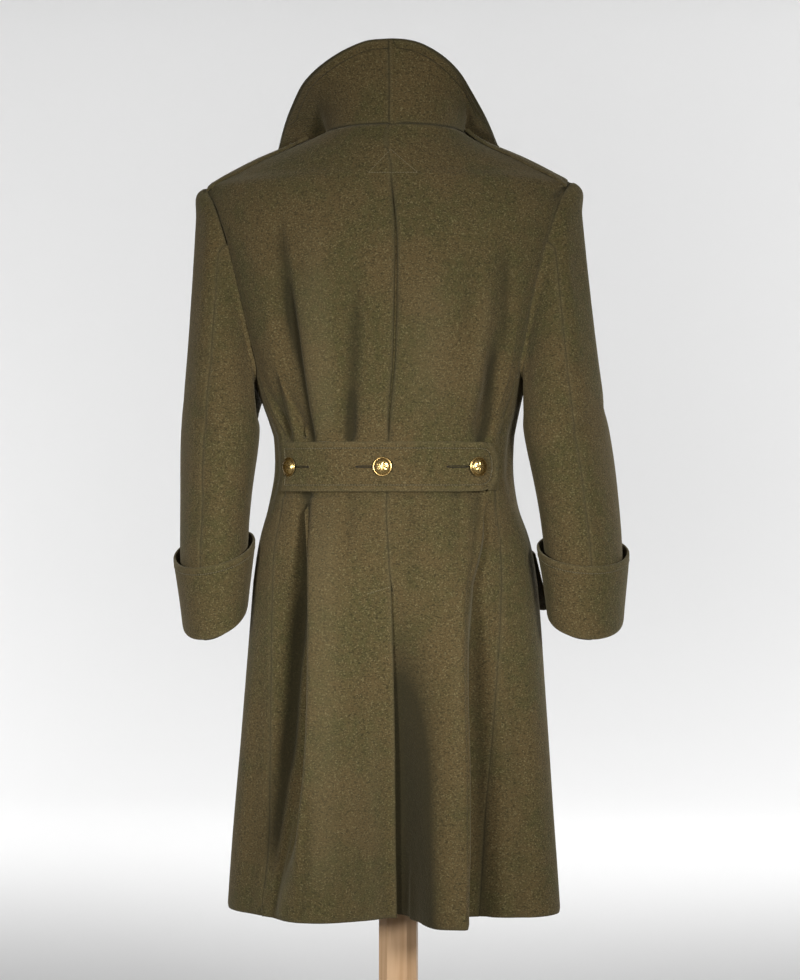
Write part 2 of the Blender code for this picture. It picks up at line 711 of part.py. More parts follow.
def sleeve_tube_point(turn, height, side):
    """A point on the hanging part of the sleeve, whose rings tilt towards its end."""
    row = row_at(SLEEVE, SLEEVE_COLUMNS, round(height, 6))
    toe = math.radians(SLEEVE_TOE_OUT)
    name = SIDE_NAMES[side]
    out = row[name + "_half"] * math.cos(math.radians(turn))
    back = row["half_depth"] * math.sin(math.radians(turn))
    across = out * math.cos(toe) - back * math.sin(toe)
    along = -out * math.sin(toe) - back * math.cos(toe)
    rise = row["tilt"] * (FORWARD_TILT[side] * along - INWARD_TILT[side] * across)
    return np.array([side * (row[name + "_out"] + across), row["forward"] + along, height + rise])


def sleeve_surface(turn, down, side):
    """A point on the sleeve. Down is 0 at the armhole, 1 where the hanging tube starts, 2 at its end."""
    turn = (turn + 180.0) % 360.0 - 180.0
    if down > 1:
        height = SLEEVE_HEAD_LOW + (SLEEVE[0][0] - SLEEVE_HEAD_LOW) * (down - 1)
        return sleeve_tube_point(turn, height, side)
    down = max(down, 0.0)
    start = armhole_point(turn, side)
    end = sleeve_tube_point(turn, SLEEVE_HEAD_LOW, side)
    topness = ((1 + math.cos(math.radians(turn))) / 2) ** 2
    bulge = SLEEVE_FULLNESS + (SLEEVE_CAP - SLEEVE_FULLNESS) * topness
    bulge *= (1 - math.exp(-down / 0.030)) * (1 - down) ** 1.2
    share = down * (0.75 + 0.25 * down)
    outward = side * (bulge + 0.0008 * (1 - share))
    return start + (end - start) * share + np.array([outward, 0.0, 0.25 * bulge * topness])


@functools.lru_cache(maxsize=None)
def sleeve_frame(turn, down, side):
    def surface(t, d):
        return sleeve_surface(t, d, side)

    inside = min(max(down, 0.012), 1.995)
    return surface(turn, down), side * surface_normal(surface, turn, inside, (4.0, 0.006))


def sleeve_point(turn, down, side, lift=0.0):
    """A point on the sleeve, moved out. Its first ring lies a seam's gap from the panels' edges."""
    if down == 0.0:
        share = -lift / CLOTH
        outside, inside = armhole_point(turn, side), armhole_point(turn, side, inner=True)
        return outside + (inside - outside) * share + np.array([side * GAP, 0.0, 0.0])
    point, normal = sleeve_frame(round(turn, 5), round(down, 6), side)
    return point + normal * lift


def sleeve_turns(side):
    """The sleeve's columns start from the panels' own corners. The seams are the nearest of them."""
    turns = list(armhole_line(side)[0])
    hind = min(range(len(turns)), key=lambda i: abs(turns[i] - HIND_SEAM))
    fore = min(range(len(turns)), key=lambda i: abs(turns[i] - FORE_SEAM))
    return turns[fore:hind + 1], turns[hind:] + [t + 360 for t in turns[:fore + 1]]


def sleeve_piece(name, side, turns, collection):
    """A wall on the sleeve between two of its long seams."""
    downs = SLEEVE_DOWNS[::-1]
    ordered = turns if side == LEFT else turns[::-1]
    outer = [[sleeve_point(t, d, side) for t in ordered] for d in downs]
    inner = [[sleeve_point(t, d, side, -CLOTH) for t in ordered] for d in downs]
    add_wall(name, outer, inner, collection)


def sleeve(side, collection):
    name = "sleeve_" + SIDE_NAMES[side]
    top, under = sleeve_turns(side)
    sleeve_piece(name + "_top", side, top, collection)
    sleeve_piece(name + "_under", side, under, collection)


def cuff(side, collection):
    """A deep turned-back cuff round the sleeve's end, standing off at its top edge."""
    turns = list(armhole_line(side)[0])
    ordered = turns if side == LEFT else turns[::-1]
    outer, inner = [], []
    for down in SLEEVE_DOWNS[:-CUFF_ROWS - 1:-1]:
        share = (SLEEVE_DOWNS[-1] - down) / (SLEEVE_DOWNS[-1] - SLEEVE_DOWNS[-CUFF_ROWS])
        lift = 0.0006 + CUFF_STAND_OFF * share**1.4
        inner.append([sleeve_point(t, down, side, lift) for t in ordered])
        outer.append([sleeve_point(t, down, side, lift + DOUBLE_CLOTH) for t in ordered])
    add_wall("cuff_" + SIDE_NAMES[side], outer, inner, collection, closed=True)


def collar_surface(share, rise, side):
    """The turned-up collar's outside. Share runs from the centre back to its end, rise up its height."""
    foot = body_surface(side * COLLAR_END_ANGLE * share, NECK, creased=False)
    foot[2] += COLLAR_LIFT
    edge = row_at(COLLAR_EDGE, COLLAR_COLUMNS, round(abs(share), 6))
    flare = 1 + (COLLAR_FLARE[side] - 1) * smoothstep(share / 0.5)
    tip = np.array([side * edge["out"] * flare + torso(NECK)["centre_x"], edge["along_y"], edge["height"]])
    lean = smoothstep((share - 0.4) / 0.6)
    upright = foot * 0.62 + tip * 0.38
    upright[2] += COLLAR_STANDING * (1 - 0.30 * lean)
    flat = 0.14 + 0.10 * lean
    upright[:2] = foot[:2] * (1 - flat) + tip[:2] * flat
    return (1 - rise) ** 2 * foot + 2 * rise * (1 - rise) * upright + rise**2 * tip


@functools.lru_cache(maxsize=None)
def collar_frame(share, rise, side):
    def surface(s, r):
        return collar_surface(s, r, side)

    inside = min(max(share, 0.012), 0.99)
    return surface(share, rise), side * surface_normal(surface, inside, rise, (0.01, 0.01))


def collar_point(share, rise, side, lift=0.0):
    """A point on the collar, moved out. Its foot rises where the left front laps over the right one."""
    point, normal = collar_frame(round(share, 5), round(rise, 5), side)
    if share < 0.012:
        normal = normal * np.array([0.0, 1.0, 1.0])
        normal /= np.linalg.norm(normal)
    over = 180 - angle_at_reach(NECK, FRONT_OVERLAP - FRONT_NARROWING)
    lapped = min(max((COLLAR_END_ANGLE * share - over + 6.0) / 6.0, 0.0), 1.0)
    _, beneath = body_frame(round(side * COLLAR_END_ANGLE * share, 5), NECK, False)
    return point + normal * lift + beneath * (CLOTH + LAP) * lapped * (1 - rise)


def collar_shares(side):
    """The collar's columns stand on the panels' own corners round the neck."""
    angles = back_angles(NECK, side, 0.0) + front_angles(NECK, side)[1:8]
    return [side * angle / COLLAR_END_ANGLE for angle in angles]


def collar_under(side, collection):
    """One outer half of the collar, joined to the other at the centre back."""
    shares = collar_shares(side) if side == RIGHT else collar_shares(side)[::-1]
    outer = [[collar_point(s, r, side) for s in shares] for r in COLLAR_RISES]
    inner = [[collar_point(s, r, side, -COLLAR_CLOTH) for s in shares] for r in COLLAR_RISES]
    add_wall("collar_under_" + SIDE_NAMES[side], outer, inner, collection)


def collar_top(collection):
    """The collar's inner face, in one piece round the neck."""
    near, far = COLLAR_CLOTH + LAP, 2 * COLLAR_CLOTH + LAP
    places = [(s, LEFT) for s in collar_shares(LEFT)[:0:-1]] + [(s, RIGHT) for s in collar_shares(RIGHT)]
    outer = [[collar_point(s, r, side, -near) for s, side in places] for r in COLLAR_RISES]
    inner = [[collar_point(s, r, side, -far) for s, side in places] for r in COLLAR_RISES]
    add_wall("collar_top", outer, inner, collection)


def shoulder_height(x, y):
    """The height of the shoulder's top at a place, found by halving."""
    low, high = 1.30, NECK
    for _ in range(40):
        middle = (low + high) / 2
        ring = torso(middle)
        depth = ring["back"] if y < 0 else ring["front"]
        reach = abs(x - ring["centre_x"]) / ring["half_width"]
        inside = reach ** ring["square"] + (abs(y) / depth) ** ring["square"] < 1
        low, high = (middle, high) if inside else (low, middle)
    return low


def strap_point(side, along, across, lift):
    """A point on a shoulder strap: along 0 at the sleeve and 1 at the neck, across in metres."""
    outer, inner = 0.2400, 0.106
    x = side * (outer + (inner - outer) * along) + torso(SHOULDER)["centre_x"]
    ridge = shoulder_height(x, 0.0)
    spring = max(shoulder_height(x, across), ridge - 0.40 * abs(across))
    return np.array([x, across, spring + lift])


def shoulder_strap(side, collection):
    """A strap on the shoulder, sewn in at the sleeve and pointed towards the neck."""
    half_wide, half_narrow = 0.028, 0.022
    alongs = (0.0, 0.14, 0.30, 0.46, 0.62, 0.78, 0.90, 1.0)
    outer, inner = [], []
    for across in (-1.0, -0.6, -0.2, 0.2, 0.6, 1.0):
        low, high = [], []
        for along in alongs:
            half = half_wide + (half_narrow - half_wide) * along
            point_cut = max(0.0, (along - 0.80) / 0.20) ** 1.5
            width = across * half * (1 - 0.62 * point_cut)
            low.append(strap_point(side, along, width, STRAP_LIFT[side]))
            high.append(strap_point(side, along, width, STRAP_LIFT[side] + DOUBLE_CLOTH))
        outer.append(high if side == RIGHT else high[::-1])
        inner.append(low if side == RIGHT else low[::-1])
    add_wall("strap_" + SIDE_NAMES[side], outer, inner, collection)


def button_mesh():
    """A domed shank button, turned about its own Z axis, its shank's foot at zero."""
    profile = [
        (0.0, BUTTON_SHANK + BUTTON_DOME),
        (BUTTON_RADIUS * 0.55, BUTTON_SHANK + BUTTON_DOME * 0.82),
        (BUTTON_RADIUS * 0.90, BUTTON_SHANK + BUTTON_DOME * 0.38),
        (BUTTON_RADIUS, BUTTON_SHANK + 0.0007),
        (BUTTON_RADIUS * 0.93, BUTTON_SHANK),
        (BUTTON_SHANK_RADIUS, BUTTON_SHANK),
        (BUTTON_SHANK_RADIUS, 0.0),
        (0.0, 0.0),
    ]
    outline = bpy.data.meshes.new("button")
    outline.from_pydata(
        [(r, 0.0, z) for r, z in profile], [(i, i + 1) for i in range(len(profile) - 1)], []
    )
    return outline


def add_button(name, mesh, point, normal, collection):
    """A button standing on a surface, its shank a seam's gap away from it."""
    made = bpy.data.objects.new(name, mesh)
    collection.objects.link(made)
    turned = made.modifiers.new("Turned", "SCREW")
    turned.steps = turned.render_steps = 12
    turned.use_merge_vertices = True
    turned.merge_threshold = 0.00005
    turned.use_normal_calculate = False
    turned.use_smooth_shade = True
    normal = Vector(normal).normalized()
    turn = normal.to_track_quat("Z", "Y").to_matrix().to_4x4()
    made.matrix_world = Matrix.Translation(Vector(point) + normal * GAP) @ turn
    return made


def body_button(name, mesh, angle, height, lift, collection):
    foot = laid_point(angle, height, lift)
    normal = laid_point(angle, height, lift + 0.010) - foot
    add_button(name, mesh, foot, normal, collection)


def front_button_point(side, height, lift):
    """A point on the fronts' shared column of buttons, between its rows in line."""
    row, up = row_share(height)
    low, high = (
        body_point(front_angles(h, side)[6], h, lift) for h in BODY_HEIGHTS[row:row + 2]
    )
    return low + (high - low) * up


def buttons(collection):
    mesh = button_mesh()
    mesh.materials.append(material("brass"))
    belt_middle = (BELT_LOW + BELT_HIGH) / 2
    for name, angle in (("left", -50.5), ("centre", -1.2), ("right", 43.0)):
        lift = belt_lift(angle) + DOUBLE_CLOTH + 0.0002
        body_button("button_belt_" + name, mesh, angle, belt_middle, lift, collection)
    for row, height in enumerate(FRONT_BUTTON_HEIGHTS, start=1):
        for side in (LEFT, RIGHT):
            foot = front_button_point(side, height, CLOTH + LAP)
            normal = front_button_point(side, height, 0.010) - foot
            add_button(f"button_front_{SIDE_NAMES[side]}_{row}", mesh, foot, normal, collection)


FORM_COLUMNS = ("height", "inset")
FORM = (
    (0.850, 0.034),
    (0.930, 0.028),
    (1.030, 0.024),
    (1.100, 0.020),
    (1.200, 0.014),
    (1.290, 0.010),
    (1.356, 0.0055),
    (1.404, 0.0030),
    (1.445, 0.0032),
    (1.461, 0.0080),
)
FORM_LOW_HEIGHTS = (0.850, 0.880, 0.930, 0.980, 1.030, 1.080, 1.135, 1.222, 1.290)
FORM_TOP_HEIGHTS = (1.356, 1.384, 1.404, 1.416, 1.430, 1.445, 1.461)
FORM_COLLAR_ROOM = 0.010
NECK_STUB = ((1.486, 0.062, 0.058), (1.505, 0.058, 0.057), (1.530, 0.056, 0.056), (1.538, 0.046, 0.046))


def form_inset(angle, height):
    """The form draws further in behind the pleat's underlay and at the shoulder's end."""
    inset = row_at(FORM, FORM_COLUMNS, height)["inset"]
    if height > 1.2:
        inset += 0.0045 * bell(angle, 32.0)
    if 1.3 < height < 1.405:
        inset += 0.0040 * bell(abs(angle) - 90.0, 10.0)
    return inset


def form_angles(height):
    """One ring's columns. At the shoulders they stand behind the panels' own corners."""
    if height < FORM_TOP_HEIGHTS[0]:
        right = [180 * i / 16.5 for i in range(17)]
        return right + [-angle for angle in right[:0:-1]]
    right, left = (
        back_angles(height, side, centre_angle(height)) + front_angles(height, side)[1:8]
        for side in (RIGHT, LEFT)
    )
    return right + left[:0:-1]


def form_ring(height):
    ring = []
    for angle in form_angles(height):
        point = body_point(angle, height, -form_inset(angle, height), creased=False)
        if height < FORM_TOP_HEIGHTS[0]:
            point[2] = height
        ring.append(point)
    return ring


def form_neck_ring():
    """The form's edge inside the collar's foot."""
    ring = []
    for angle in form_angles(NECK):
        point, normal = body_frame(round(angle, 5), NECK, False)
        flat = np.array([normal[0], normal[1], 0.0])
        inward = flat / np.linalg.norm(flat) * FORM_COLLAR_ROOM
        ring.append(point - inward - np.array([0.0, 0.0, 0.006]))
    return ring


def form_stub_ring(height, half_width, half_depth):
    ring = []
    for angle in form_angles(0.0):
        a = math.radians(angle)
        ring.append((torso(NECK)["centre_x"] + half_width * math.sin(a), -half_depth * math.cos(a), height))
    return ring


def dress_form(collection):
    """The limbless form: the coat's shoulders without its folds, drawn in below, with a neck stub."""
    rings = [form_ring(h) for h in FORM_LOW_HEIGHTS + FORM_TOP_HEIGHTS]
    rings += [form_neck_ring()] + [form_stub_ring(*row) for row in NECK_STUB]
    built = bmesh.new()
    loops = [[built.verts.new(point) for point in ring] for ring in rings]
    count = len(loops[0])
    for low, high in zip(loops, loops[1:]):
        for j in range(count):
            k = (j + 1) % count
            built.faces.new((low[j], low[k], high[k]))
            built.faces.new((low[j], high[k], high[j]))
    built.faces.new(loops[0][::-1])
    built.faces.new(loops[-1])
    mesh = bpy.data.meshes.new("form")
    built.to_mesh(mesh)
    built.free()
    add_mesh("form", mesh, collection, "linen")


def stand(collection):
    """A timber post with chamfered corners on a plain square base."""
    half, cut = POST_SIDE / 2, POST_CHAMFER
    corners = [(half, half - cut), (half - cut, half)]
    outline = []
    for quarter in range(4):
        turn = Matrix.Rotation(math.pi / 2 * quarter, 2)
        outline += [turn @ Vector(c) for c in corners]
    built = bmesh.new()
    foot = built.faces.new([built.verts.new((x, y, BASE_THICK + GAP)) for x, y in outline])
    raised = bmesh.ops.extrude_face_region(built, geom=[foot])["geom"]
    lift = FORM_BOTTOM - GAP - BASE_THICK - GAP
    verts = [item for item in raised if isinstance(item, bmesh.types.BMVert)]
    bmesh.ops.translate(built, verts=verts, vec=(0, 0, lift))
    bmesh.ops.recalc_face_normals(built, faces=built.faces)
    mesh = bpy.data.meshes.new("post")
    built.to_mesh(mesh)
    built.free()
    add_mesh("post", mesh, collection, "timber")

    built = bmesh.new()
    size = Matrix.Diagonal((BASE_SIDE, BASE_SIDE, BASE_THICK, 1))
    bmesh.ops.create_cube(built, size=1.0, matrix=Matrix.Translation((0, 0, BASE_THICK / 2)) @ size)
    mesh = bpy.data.meshes.new("base")
    built.to_mesh(mesh)
    built.free()
    base = add_mesh("base", mesh, collection, "timber")
    rounded = base.modifiers.new("Rounded", "BEVEL")
    rounded.width = BASE_BEVEL
    rounded.segments = 2


def main():
    for leftover in list(bpy.data.objects):
        bpy.data.objects.remove(leftover)
    coat = bpy.data.collections.new("greatcoat_on_form")
    bpy.context.scene.collection.children.link(coat)
    for side in (LEFT, RIGHT):
        back_panel(side, coat)
        side_panel(side, coat)
        front_panel(side, coat)
        sleeve(side, coat)
        cuff(side, coat)
        collar_under(side, coat)
        shoulder_strap(side, coat)
        pocket_flap(side, coat)
    pleat_underlay(coat)
    collar_top(coat)
    half_belt(coat)
    belt_end(coat)
    buttons(coat)
    dress_form(coat)
    stand(coat)


main()
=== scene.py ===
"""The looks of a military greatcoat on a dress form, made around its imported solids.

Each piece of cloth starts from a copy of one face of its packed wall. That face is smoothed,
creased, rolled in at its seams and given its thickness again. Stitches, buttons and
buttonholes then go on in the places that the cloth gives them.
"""
import logging
import math
from collections.abc import Callable
from dataclasses import dataclass, field
from enum import Enum

import bmesh
import bpy
import numpy as np
from bmesh.types import BMesh, BMVert
from bpy.types import ID, Material, Mesh, Node, NodeSocket, Object
from mathutils import Matrix, Vector
from mathutils.bvhtree import BVHTree
from mathutils.kdtree import KDTree


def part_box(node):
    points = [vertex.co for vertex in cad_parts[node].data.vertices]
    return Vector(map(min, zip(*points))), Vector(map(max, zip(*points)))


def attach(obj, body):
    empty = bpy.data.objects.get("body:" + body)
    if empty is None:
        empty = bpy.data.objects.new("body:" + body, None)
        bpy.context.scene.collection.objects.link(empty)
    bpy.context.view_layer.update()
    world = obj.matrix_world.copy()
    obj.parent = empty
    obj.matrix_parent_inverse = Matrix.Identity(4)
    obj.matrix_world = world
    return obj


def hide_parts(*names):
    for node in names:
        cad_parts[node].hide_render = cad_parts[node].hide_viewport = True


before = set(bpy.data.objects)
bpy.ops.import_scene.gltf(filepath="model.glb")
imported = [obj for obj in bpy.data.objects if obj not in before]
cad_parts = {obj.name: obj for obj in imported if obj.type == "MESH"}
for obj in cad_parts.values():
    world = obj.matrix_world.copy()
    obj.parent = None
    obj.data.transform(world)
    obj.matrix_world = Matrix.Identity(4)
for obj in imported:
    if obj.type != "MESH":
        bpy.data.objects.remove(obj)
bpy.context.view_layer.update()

LOG = logging.getLogger("greatcoat")
BODY = "root"
WELD = 1e-5
SEAM_ROLL = 0.0014
SLEEVE_ROLL = 0.0017
EDGE_ROLL = 0.0006
ROLL_WIDTH = 0.0026
RIM_WIDTH = 0.0011
EDGE_GROWTH = 0.0006
COLLAR_GROWTH = 0.0012
FIT_PASSES, FIT_SHARE = 4, 0.9
FORM_REACH, FORM_GAP = 0.030, 0.0006
EVEN_PASSES = 14
LAID_FROM, LAID_REACH, LAID_GAP = 0.012, 0.030, 0.0003
TROUGH_SHADE_DEPTH, RIDGE_HIGHLIGHT_HEIGHT = 0.0075, 0.004
WORN_WIDTH, SEAM_SHADE_WIDTH = 0.004, 0.0015
VIEW_FROM, VIEW_REACH = 0.6, 0.8


# Finishes


class Shader:
    """A material's node tree, built one call a node."""

    def __init__(self, name: str) -> None:
        """Starts an empty material.

        Args:
            name: The material's name.
        """
        self.material = bpy.data.materials.new(name)
        self.material.use_nodes = True
        self.tree = self.material.node_tree
        self.tree.nodes.clear()
        self.coordinates = self.add("ShaderNodeTexCoord").outputs["Object"]

    def add(self, kind: str, inputs: dict | None = None, **settings: object) -> Node:
        """Adds a node.

        Args:
            kind: Blender's name for the kind of node.
            inputs: Values or sockets for its inputs, by name or number.
            settings: The node's own settings.

        Returns:
            The new node.
        """
        node = self.tree.nodes.new(kind)
        for key, value in settings.items():
            setattr(node, key, value)
        for key, value in (inputs or {}).items():
            if isinstance(value, NodeSocket):
                self.tree.links.new(value, node.inputs[key])
            else:
                node.inputs[key].default_value = value
        return node

    def noise(self, scale: float, detail: float = 2.0, stretch: tuple = (1, 1, 1)) -> NodeSocket:
        """Returns the factor of a noise on object coordinates, stretched as asked."""
        where = self.add("ShaderNodeMapping", {"Vector": self.coordinates, "Scale": stretch}).outputs[0]
        return self.add("ShaderNodeTexNoise", {"Vector": where, "Scale": scale, "Detail": detail,
                                               "Roughness": 0.6}).outputs["Fac"]

    def ramp(self, value: NodeSocket, low: float, high: float,
             to_low: float = 0.0, to_high: float = 1.0) -> NodeSocket:
        """Returns a value that rises smoothly from to_low at low to to_high at high."""
        return self.add("ShaderNodeMapRange", {"Value": value, "From Min": low, "From Max": high,
                                               "To Min": to_low, "To Max": to_high},
                        interpolation_type="SMOOTHSTEP").outputs[0]

    def mix(self, share: object, first: object, second: object, blend: str = "MIX") -> NodeSocket:
        """Returns two colours mixed, where share is a number or a socket."""
        node = self.add("ShaderNodeMix", data_type="RGBA", blend_type=blend)
        for index, value in ((0, share), (6, first), (7, second)):
            if isinstance(value, NodeSocket):
                self.tree.links.new(value, node.inputs[index])
            else:
                node.inputs[index].default_value = value if index == 0 else (*value, 1.0)
        return node.outputs[2]

    def math(self, operation: str, first: object, second: object = 0.0) -> NodeSocket:
        """Returns one sum on two numbers or sockets."""
        return self.add("ShaderNodeMath", {0: first, 1: second}, operation=operation).outputs[0]

    def times(self, first: object, second: object) -> NodeSocket:
        """Returns the product of two numbers or sockets."""
        return self.math("MULTIPLY", first, second)

    def value_of(self, attribute: str) -> NodeSocket:
        """Returns a number that the mesh carries at its vertices."""
        return self.add("ShaderNodeAttribute", attribute_name=attribute).outputs["Fac"]

    def bump(self, height: NodeSocket, deep: float, under: object = None) -> NodeSocket:
        """Returns a normal raised by a height in shares of deep, in metres, over the one under it."""
        node = self.add("ShaderNodeBump", {"Height": height, "Distance": deep, "Strength": 1.0})
        if under is not None:
            self.tree.links.new(under, node.inputs["Normal"])
        return node.outputs[0]

    def finish(self, color: object, normal: object, **values: object) -> Material:
        """Closes the tree with a Principled shader, each constant on the shader's own socket."""
        inputs = {"Base Color": color if isinstance(color, NodeSocket) else (*color, 1.0)}
        inputs.update({key.replace("_", " "): value for key, value in values.items()})
        if normal is not None:
            inputs["Normal"] = normal
        shader = self.add("ShaderNodeBsdfPrincipled", inputs)
        self.add("ShaderNodeOutputMaterial", {"Surface": shader.outputs[0]})
        return self.material


@dataclass(frozen=True)
class Melton:
    """Heavy milled wool: short nap, heathered olive brown, a little paler where it wears. Its colour also
    carries painted shade in crease troughs, rolled seams and stitch grooves, and a painted highlight on
    crease ridges.
    """

    olive: tuple = (0.080, 0.067, 0.024)
    brown: tuple = (0.108, 0.075, 0.030)
    dark_fibre_and_shade: tuple = (0.024, 0.020, 0.008)
    pale_fibre: tuple = (0.230, 0.190, 0.090)
    wear_and_ridge_highlight: tuple = (0.165, 0.135, 0.068)
    stitch_half_width: float = 0.0012

    def material(self, name: str = "melton_wool") -> Material:
        """Returns the cloth's material."""
        s = Shader(name)
        blotch = s.ramp(s.noise(10.0, 4.0), 0.40, 0.60)
        heather = s.ramp(s.noise(85.0, 3.0), 0.38, 0.62)
        base = s.mix(blotch, self.olive, self.brown)
        base = s.mix(s.times(heather, 0.50), base, self.brown)
        fibres = s.noise(470.0, 3.0)
        yarns = s.noise(360.0, 2.0, (1.0, 1.0, 1.7))
        base = s.mix(s.ramp(fibres, 0.52, 0.68, 0.0, 0.62), base, self.pale_fibre)
        base = s.mix(s.ramp(yarns, 0.54, 0.32, 0.0, 0.72), base, self.dark_fibre_and_shade)
        # Paler wool along the edges for wear, and on crease ridges as a painted highlight.
        base = s.mix(s.times(s.value_of("wear_and_ridge_highlight"), 0.50), base, self.wear_and_ridge_highlight)
        # Painted shade: the wool turns to the dark fibre colour in crease troughs and along rolled seams.
        base = s.mix(s.times(s.value_of("shade_and_tarnish"), 0.88), base, self.dark_fibre_and_shade)
        gap = s.math("ABSOLUTE", s.value_of("stitch_line"))
        line = s.ramp(gap, self.stitch_half_width, 0.0)
        # Painted shade: the wool is darkened along each stitch line for the shade in its pressed groove; the
        # bump below sinks the groove itself.
        base = s.mix(s.times(line, 0.55), base, self.dark_fibre_and_shade)
        nap = s.math("ADD", s.times(fibres, 0.5), s.times(yarns, 0.5))
        normal = s.bump(s.noise(60.0, 2.0), 0.0010)
        normal = s.bump(nap, 0.0016, normal)
        normal = s.bump(s.times(line, -1.0), 0.0008, normal)
        return s.finish(base, normal, Roughness=0.94, Specular_IOR_Level=0.20, Sheen_Weight=0.20,
                        Sheen_Roughness=0.50, Sheen_Tint=(0.78, 0.70, 0.48, 1.0))


@dataclass(frozen=True)
class Thread:
    """Waxed sewing thread a little paler than the wool, or another colour."""

    color: tuple = (0.165, 0.138, 0.076)

    def material(self, name: str = "sewing_thread") -> Material:
        """Returns the thread's material."""
        s = Shader(name)
        twist = s.noise(2600.0, 1.0, (1.0, 1.0, 1.0))
        tone = s.mix(s.ramp(twist, 0.35, 0.65), self.color, tuple(1.5 * c for c in self.color))
        return s.finish(tone, s.bump(twist, 0.0002), Roughness=0.62, Specular_IOR_Level=0.35)


@dataclass(frozen=True)
class Brass:
    """Polished gilt brass, tarnished brown in its hollows."""

    polished: tuple = (0.83, 0.58, 0.22)
    tarnished: tuple = (0.30, 0.17, 0.06)

    def material(self, name: str = "button_brass") -> Material:
        """Returns the metal's material."""
        s = Shader(name)
        spots = s.ramp(s.noise(420.0, 4.0), 0.50, 0.72, 0.0, 0.45)
        # On the buttons this attribute is tarnish only, in the groove and between the petals.
        shade_and_tarnish = s.times(s.value_of("shade_and_tarnish"), 0.85)
        tone = s.mix(s.math("MAXIMUM", spots, shade_and_tarnish), self.polished, self.tarnished)
        rough = s.ramp(s.noise(700.0, 3.0), 0.3, 0.8, 0.20, 0.42)
        return s.finish(tone, s.bump(s.noise(1500.0, 2.0), 0.00006), Roughness=rough, Metallic=1.0)


@dataclass(frozen=True)
class Linen:
    """Plain woven linen over the dress form."""

    warp: tuple = (0.70, 0.63, 0.52)
    weft: tuple = (0.58, 0.51, 0.41)
    threads_per_metre: float = 1300.0

    def material(self, name: str = "form_linen") -> Material:
        """Returns the cover's material."""
        s = Shader(name)
        waves = [
            s.add("ShaderNodeTexWave", {"Vector": s.coordinates, "Scale": self.threads_per_metre / 6.283,
                                        "Distortion": 1.5, "Detail": 1.0},
                  bands_direction=axis).outputs["Fac"]
            for axis in ("X", "Z")
        ]
        weave = s.times(waves[0], waves[1])
        slub = s.ramp(s.noise(60.0, 3.0, (1.0, 1.0, 9.0)), 0.4, 0.7, 0.0, 0.5)
        tone = s.mix(s.math("ADD", s.times(weave, 0.6), slub), self.weft, self.warp)
        return s.finish(tone, s.bump(weave, 0.0003), Roughness=0.85, Specular_IOR_Level=0.25)


@dataclass(frozen=True)
class Timber:
    """Pale planed softwood, its grain running up the post."""

    early: tuple = (0.72, 0.47, 0.27)
    late: tuple = (0.52, 0.29, 0.13)

    def material(self, name: str, along: tuple) -> Material:
        """Returns the wood's material.

        Args:
            name: The material's name.
            along: How much the grain is drawn out on each axis.

        Returns:
            The material.
        """
        s = Shader(name)
        where = s.add("ShaderNodeMapping", {"Vector": s.coordinates, "Scale": along}).outputs[0]
        rings = s.add("ShaderNodeTexNoise", {"Vector": where, "Scale": 62.0, "Detail": 3.0,
                                             "Distortion": 0.5}).outputs["Fac"]
        pores = s.add("ShaderNodeTexNoise", {"Vector": where, "Scale": 320.0, "Detail": 4.0}).outputs["Fac"]
        tone = s.mix(s.ramp(rings, 0.44, 0.64, 0.0, 0.60), self.early, self.late)
        tone = s.mix(s.ramp(pores, 0.55, 0.75, 0.0, 0.30), tone, self.late)
        return s.finish(tone, s.bump(pores, 0.00025), Roughness=0.48, Specular_IOR_Level=0.4)


# Sides, creases and stitching


class Side(Enum):
    """The way that a crease or a line of stitching looks out from the coat."""

    BACK = (0.0, -1.0, 0.0)
    FRONT = (0.0, 1.0, 0.0)
    LEFT = (-1.0, 0.0, 0.0)
    RIGHT = (1.0, 0.0, 0.0)

    def across(self, points: np.ndarray) -> np.ndarray:
        """Returns the points' places across that side, X on back and front and Y on the others."""
        return points[:, 0] if self in (Side.BACK, Side.FRONT) else points[:, 1]


@dataclass(frozen=True)
class Crease:
    """A soft trough or ridge, from one place on a side to another.

    Lean makes its wall towards higher X or Y the steeper one, and fades are the shares of its
    length in which it starts and dies out.
    """

    side: Side
    start: tuple[float, float]
    end: tuple[float, float]
    width: float
    depth: float
    bow: float = 0.0
    lean: float = 0.0
    fades: tuple[float, float] = (0.30, 0.38)

    def push(self, points: np.ndarray, normals: np.ndarray) -> np.ndarray:
        """Works out how far each point moves out.

        Args:
            points: The cloth's points.
            normals: Their outward normals.

        Returns:
            A distance for each point, below zero in a trough.
        """
        place = np.column_stack((self.side.across(points), points[:, 2]))
        start, end = np.array(self.start), np.array(self.end)
        length = float(np.linalg.norm(end - start))
        along = (place - start) @ (end - start) / length**2
        sideways = np.array([-(end - start)[1], (end - start)[0]]) / length
        off = (place - start) @ sideways - self.bow * 4 * along * (1 - along)
        ends = smooth(along, -0.02, self.fades[0]) * (1 - smooth(along, 1 - self.fades[1], 1.02))
        faces = smooth(normals @ np.array(self.side.value), 0.05, 0.45)
        width = self.width * (1 - self.lean * np.sign(off))
        return self.depth * ends * faces * np.exp(-((off / width) ** 2))


@dataclass(frozen=True)
class Stitching:
    """A line of stitches at one distance inside a stretch of a piece's edge."""

    offset: float
    where: Callable[[np.ndarray], np.ndarray] = field(default=lambda points: np.ones(len(points), bool))
    pitch: float = 0.0036


def creases(side: Side, *rows: tuple) -> tuple[Crease, ...]:
    """Returns one side's creases from rows that start with their ends, width and depth."""
    return tuple(Crease(side, *row) for row in rows)


def smooth(values: np.ndarray, low: float, high: float) -> np.ndarray:
    """Returns values eased from 0 at low to 1 at high."""
    share = np.clip((values - low) / (high - low), 0.0, 1.0)
    return share * share * (3 - 2 * share)


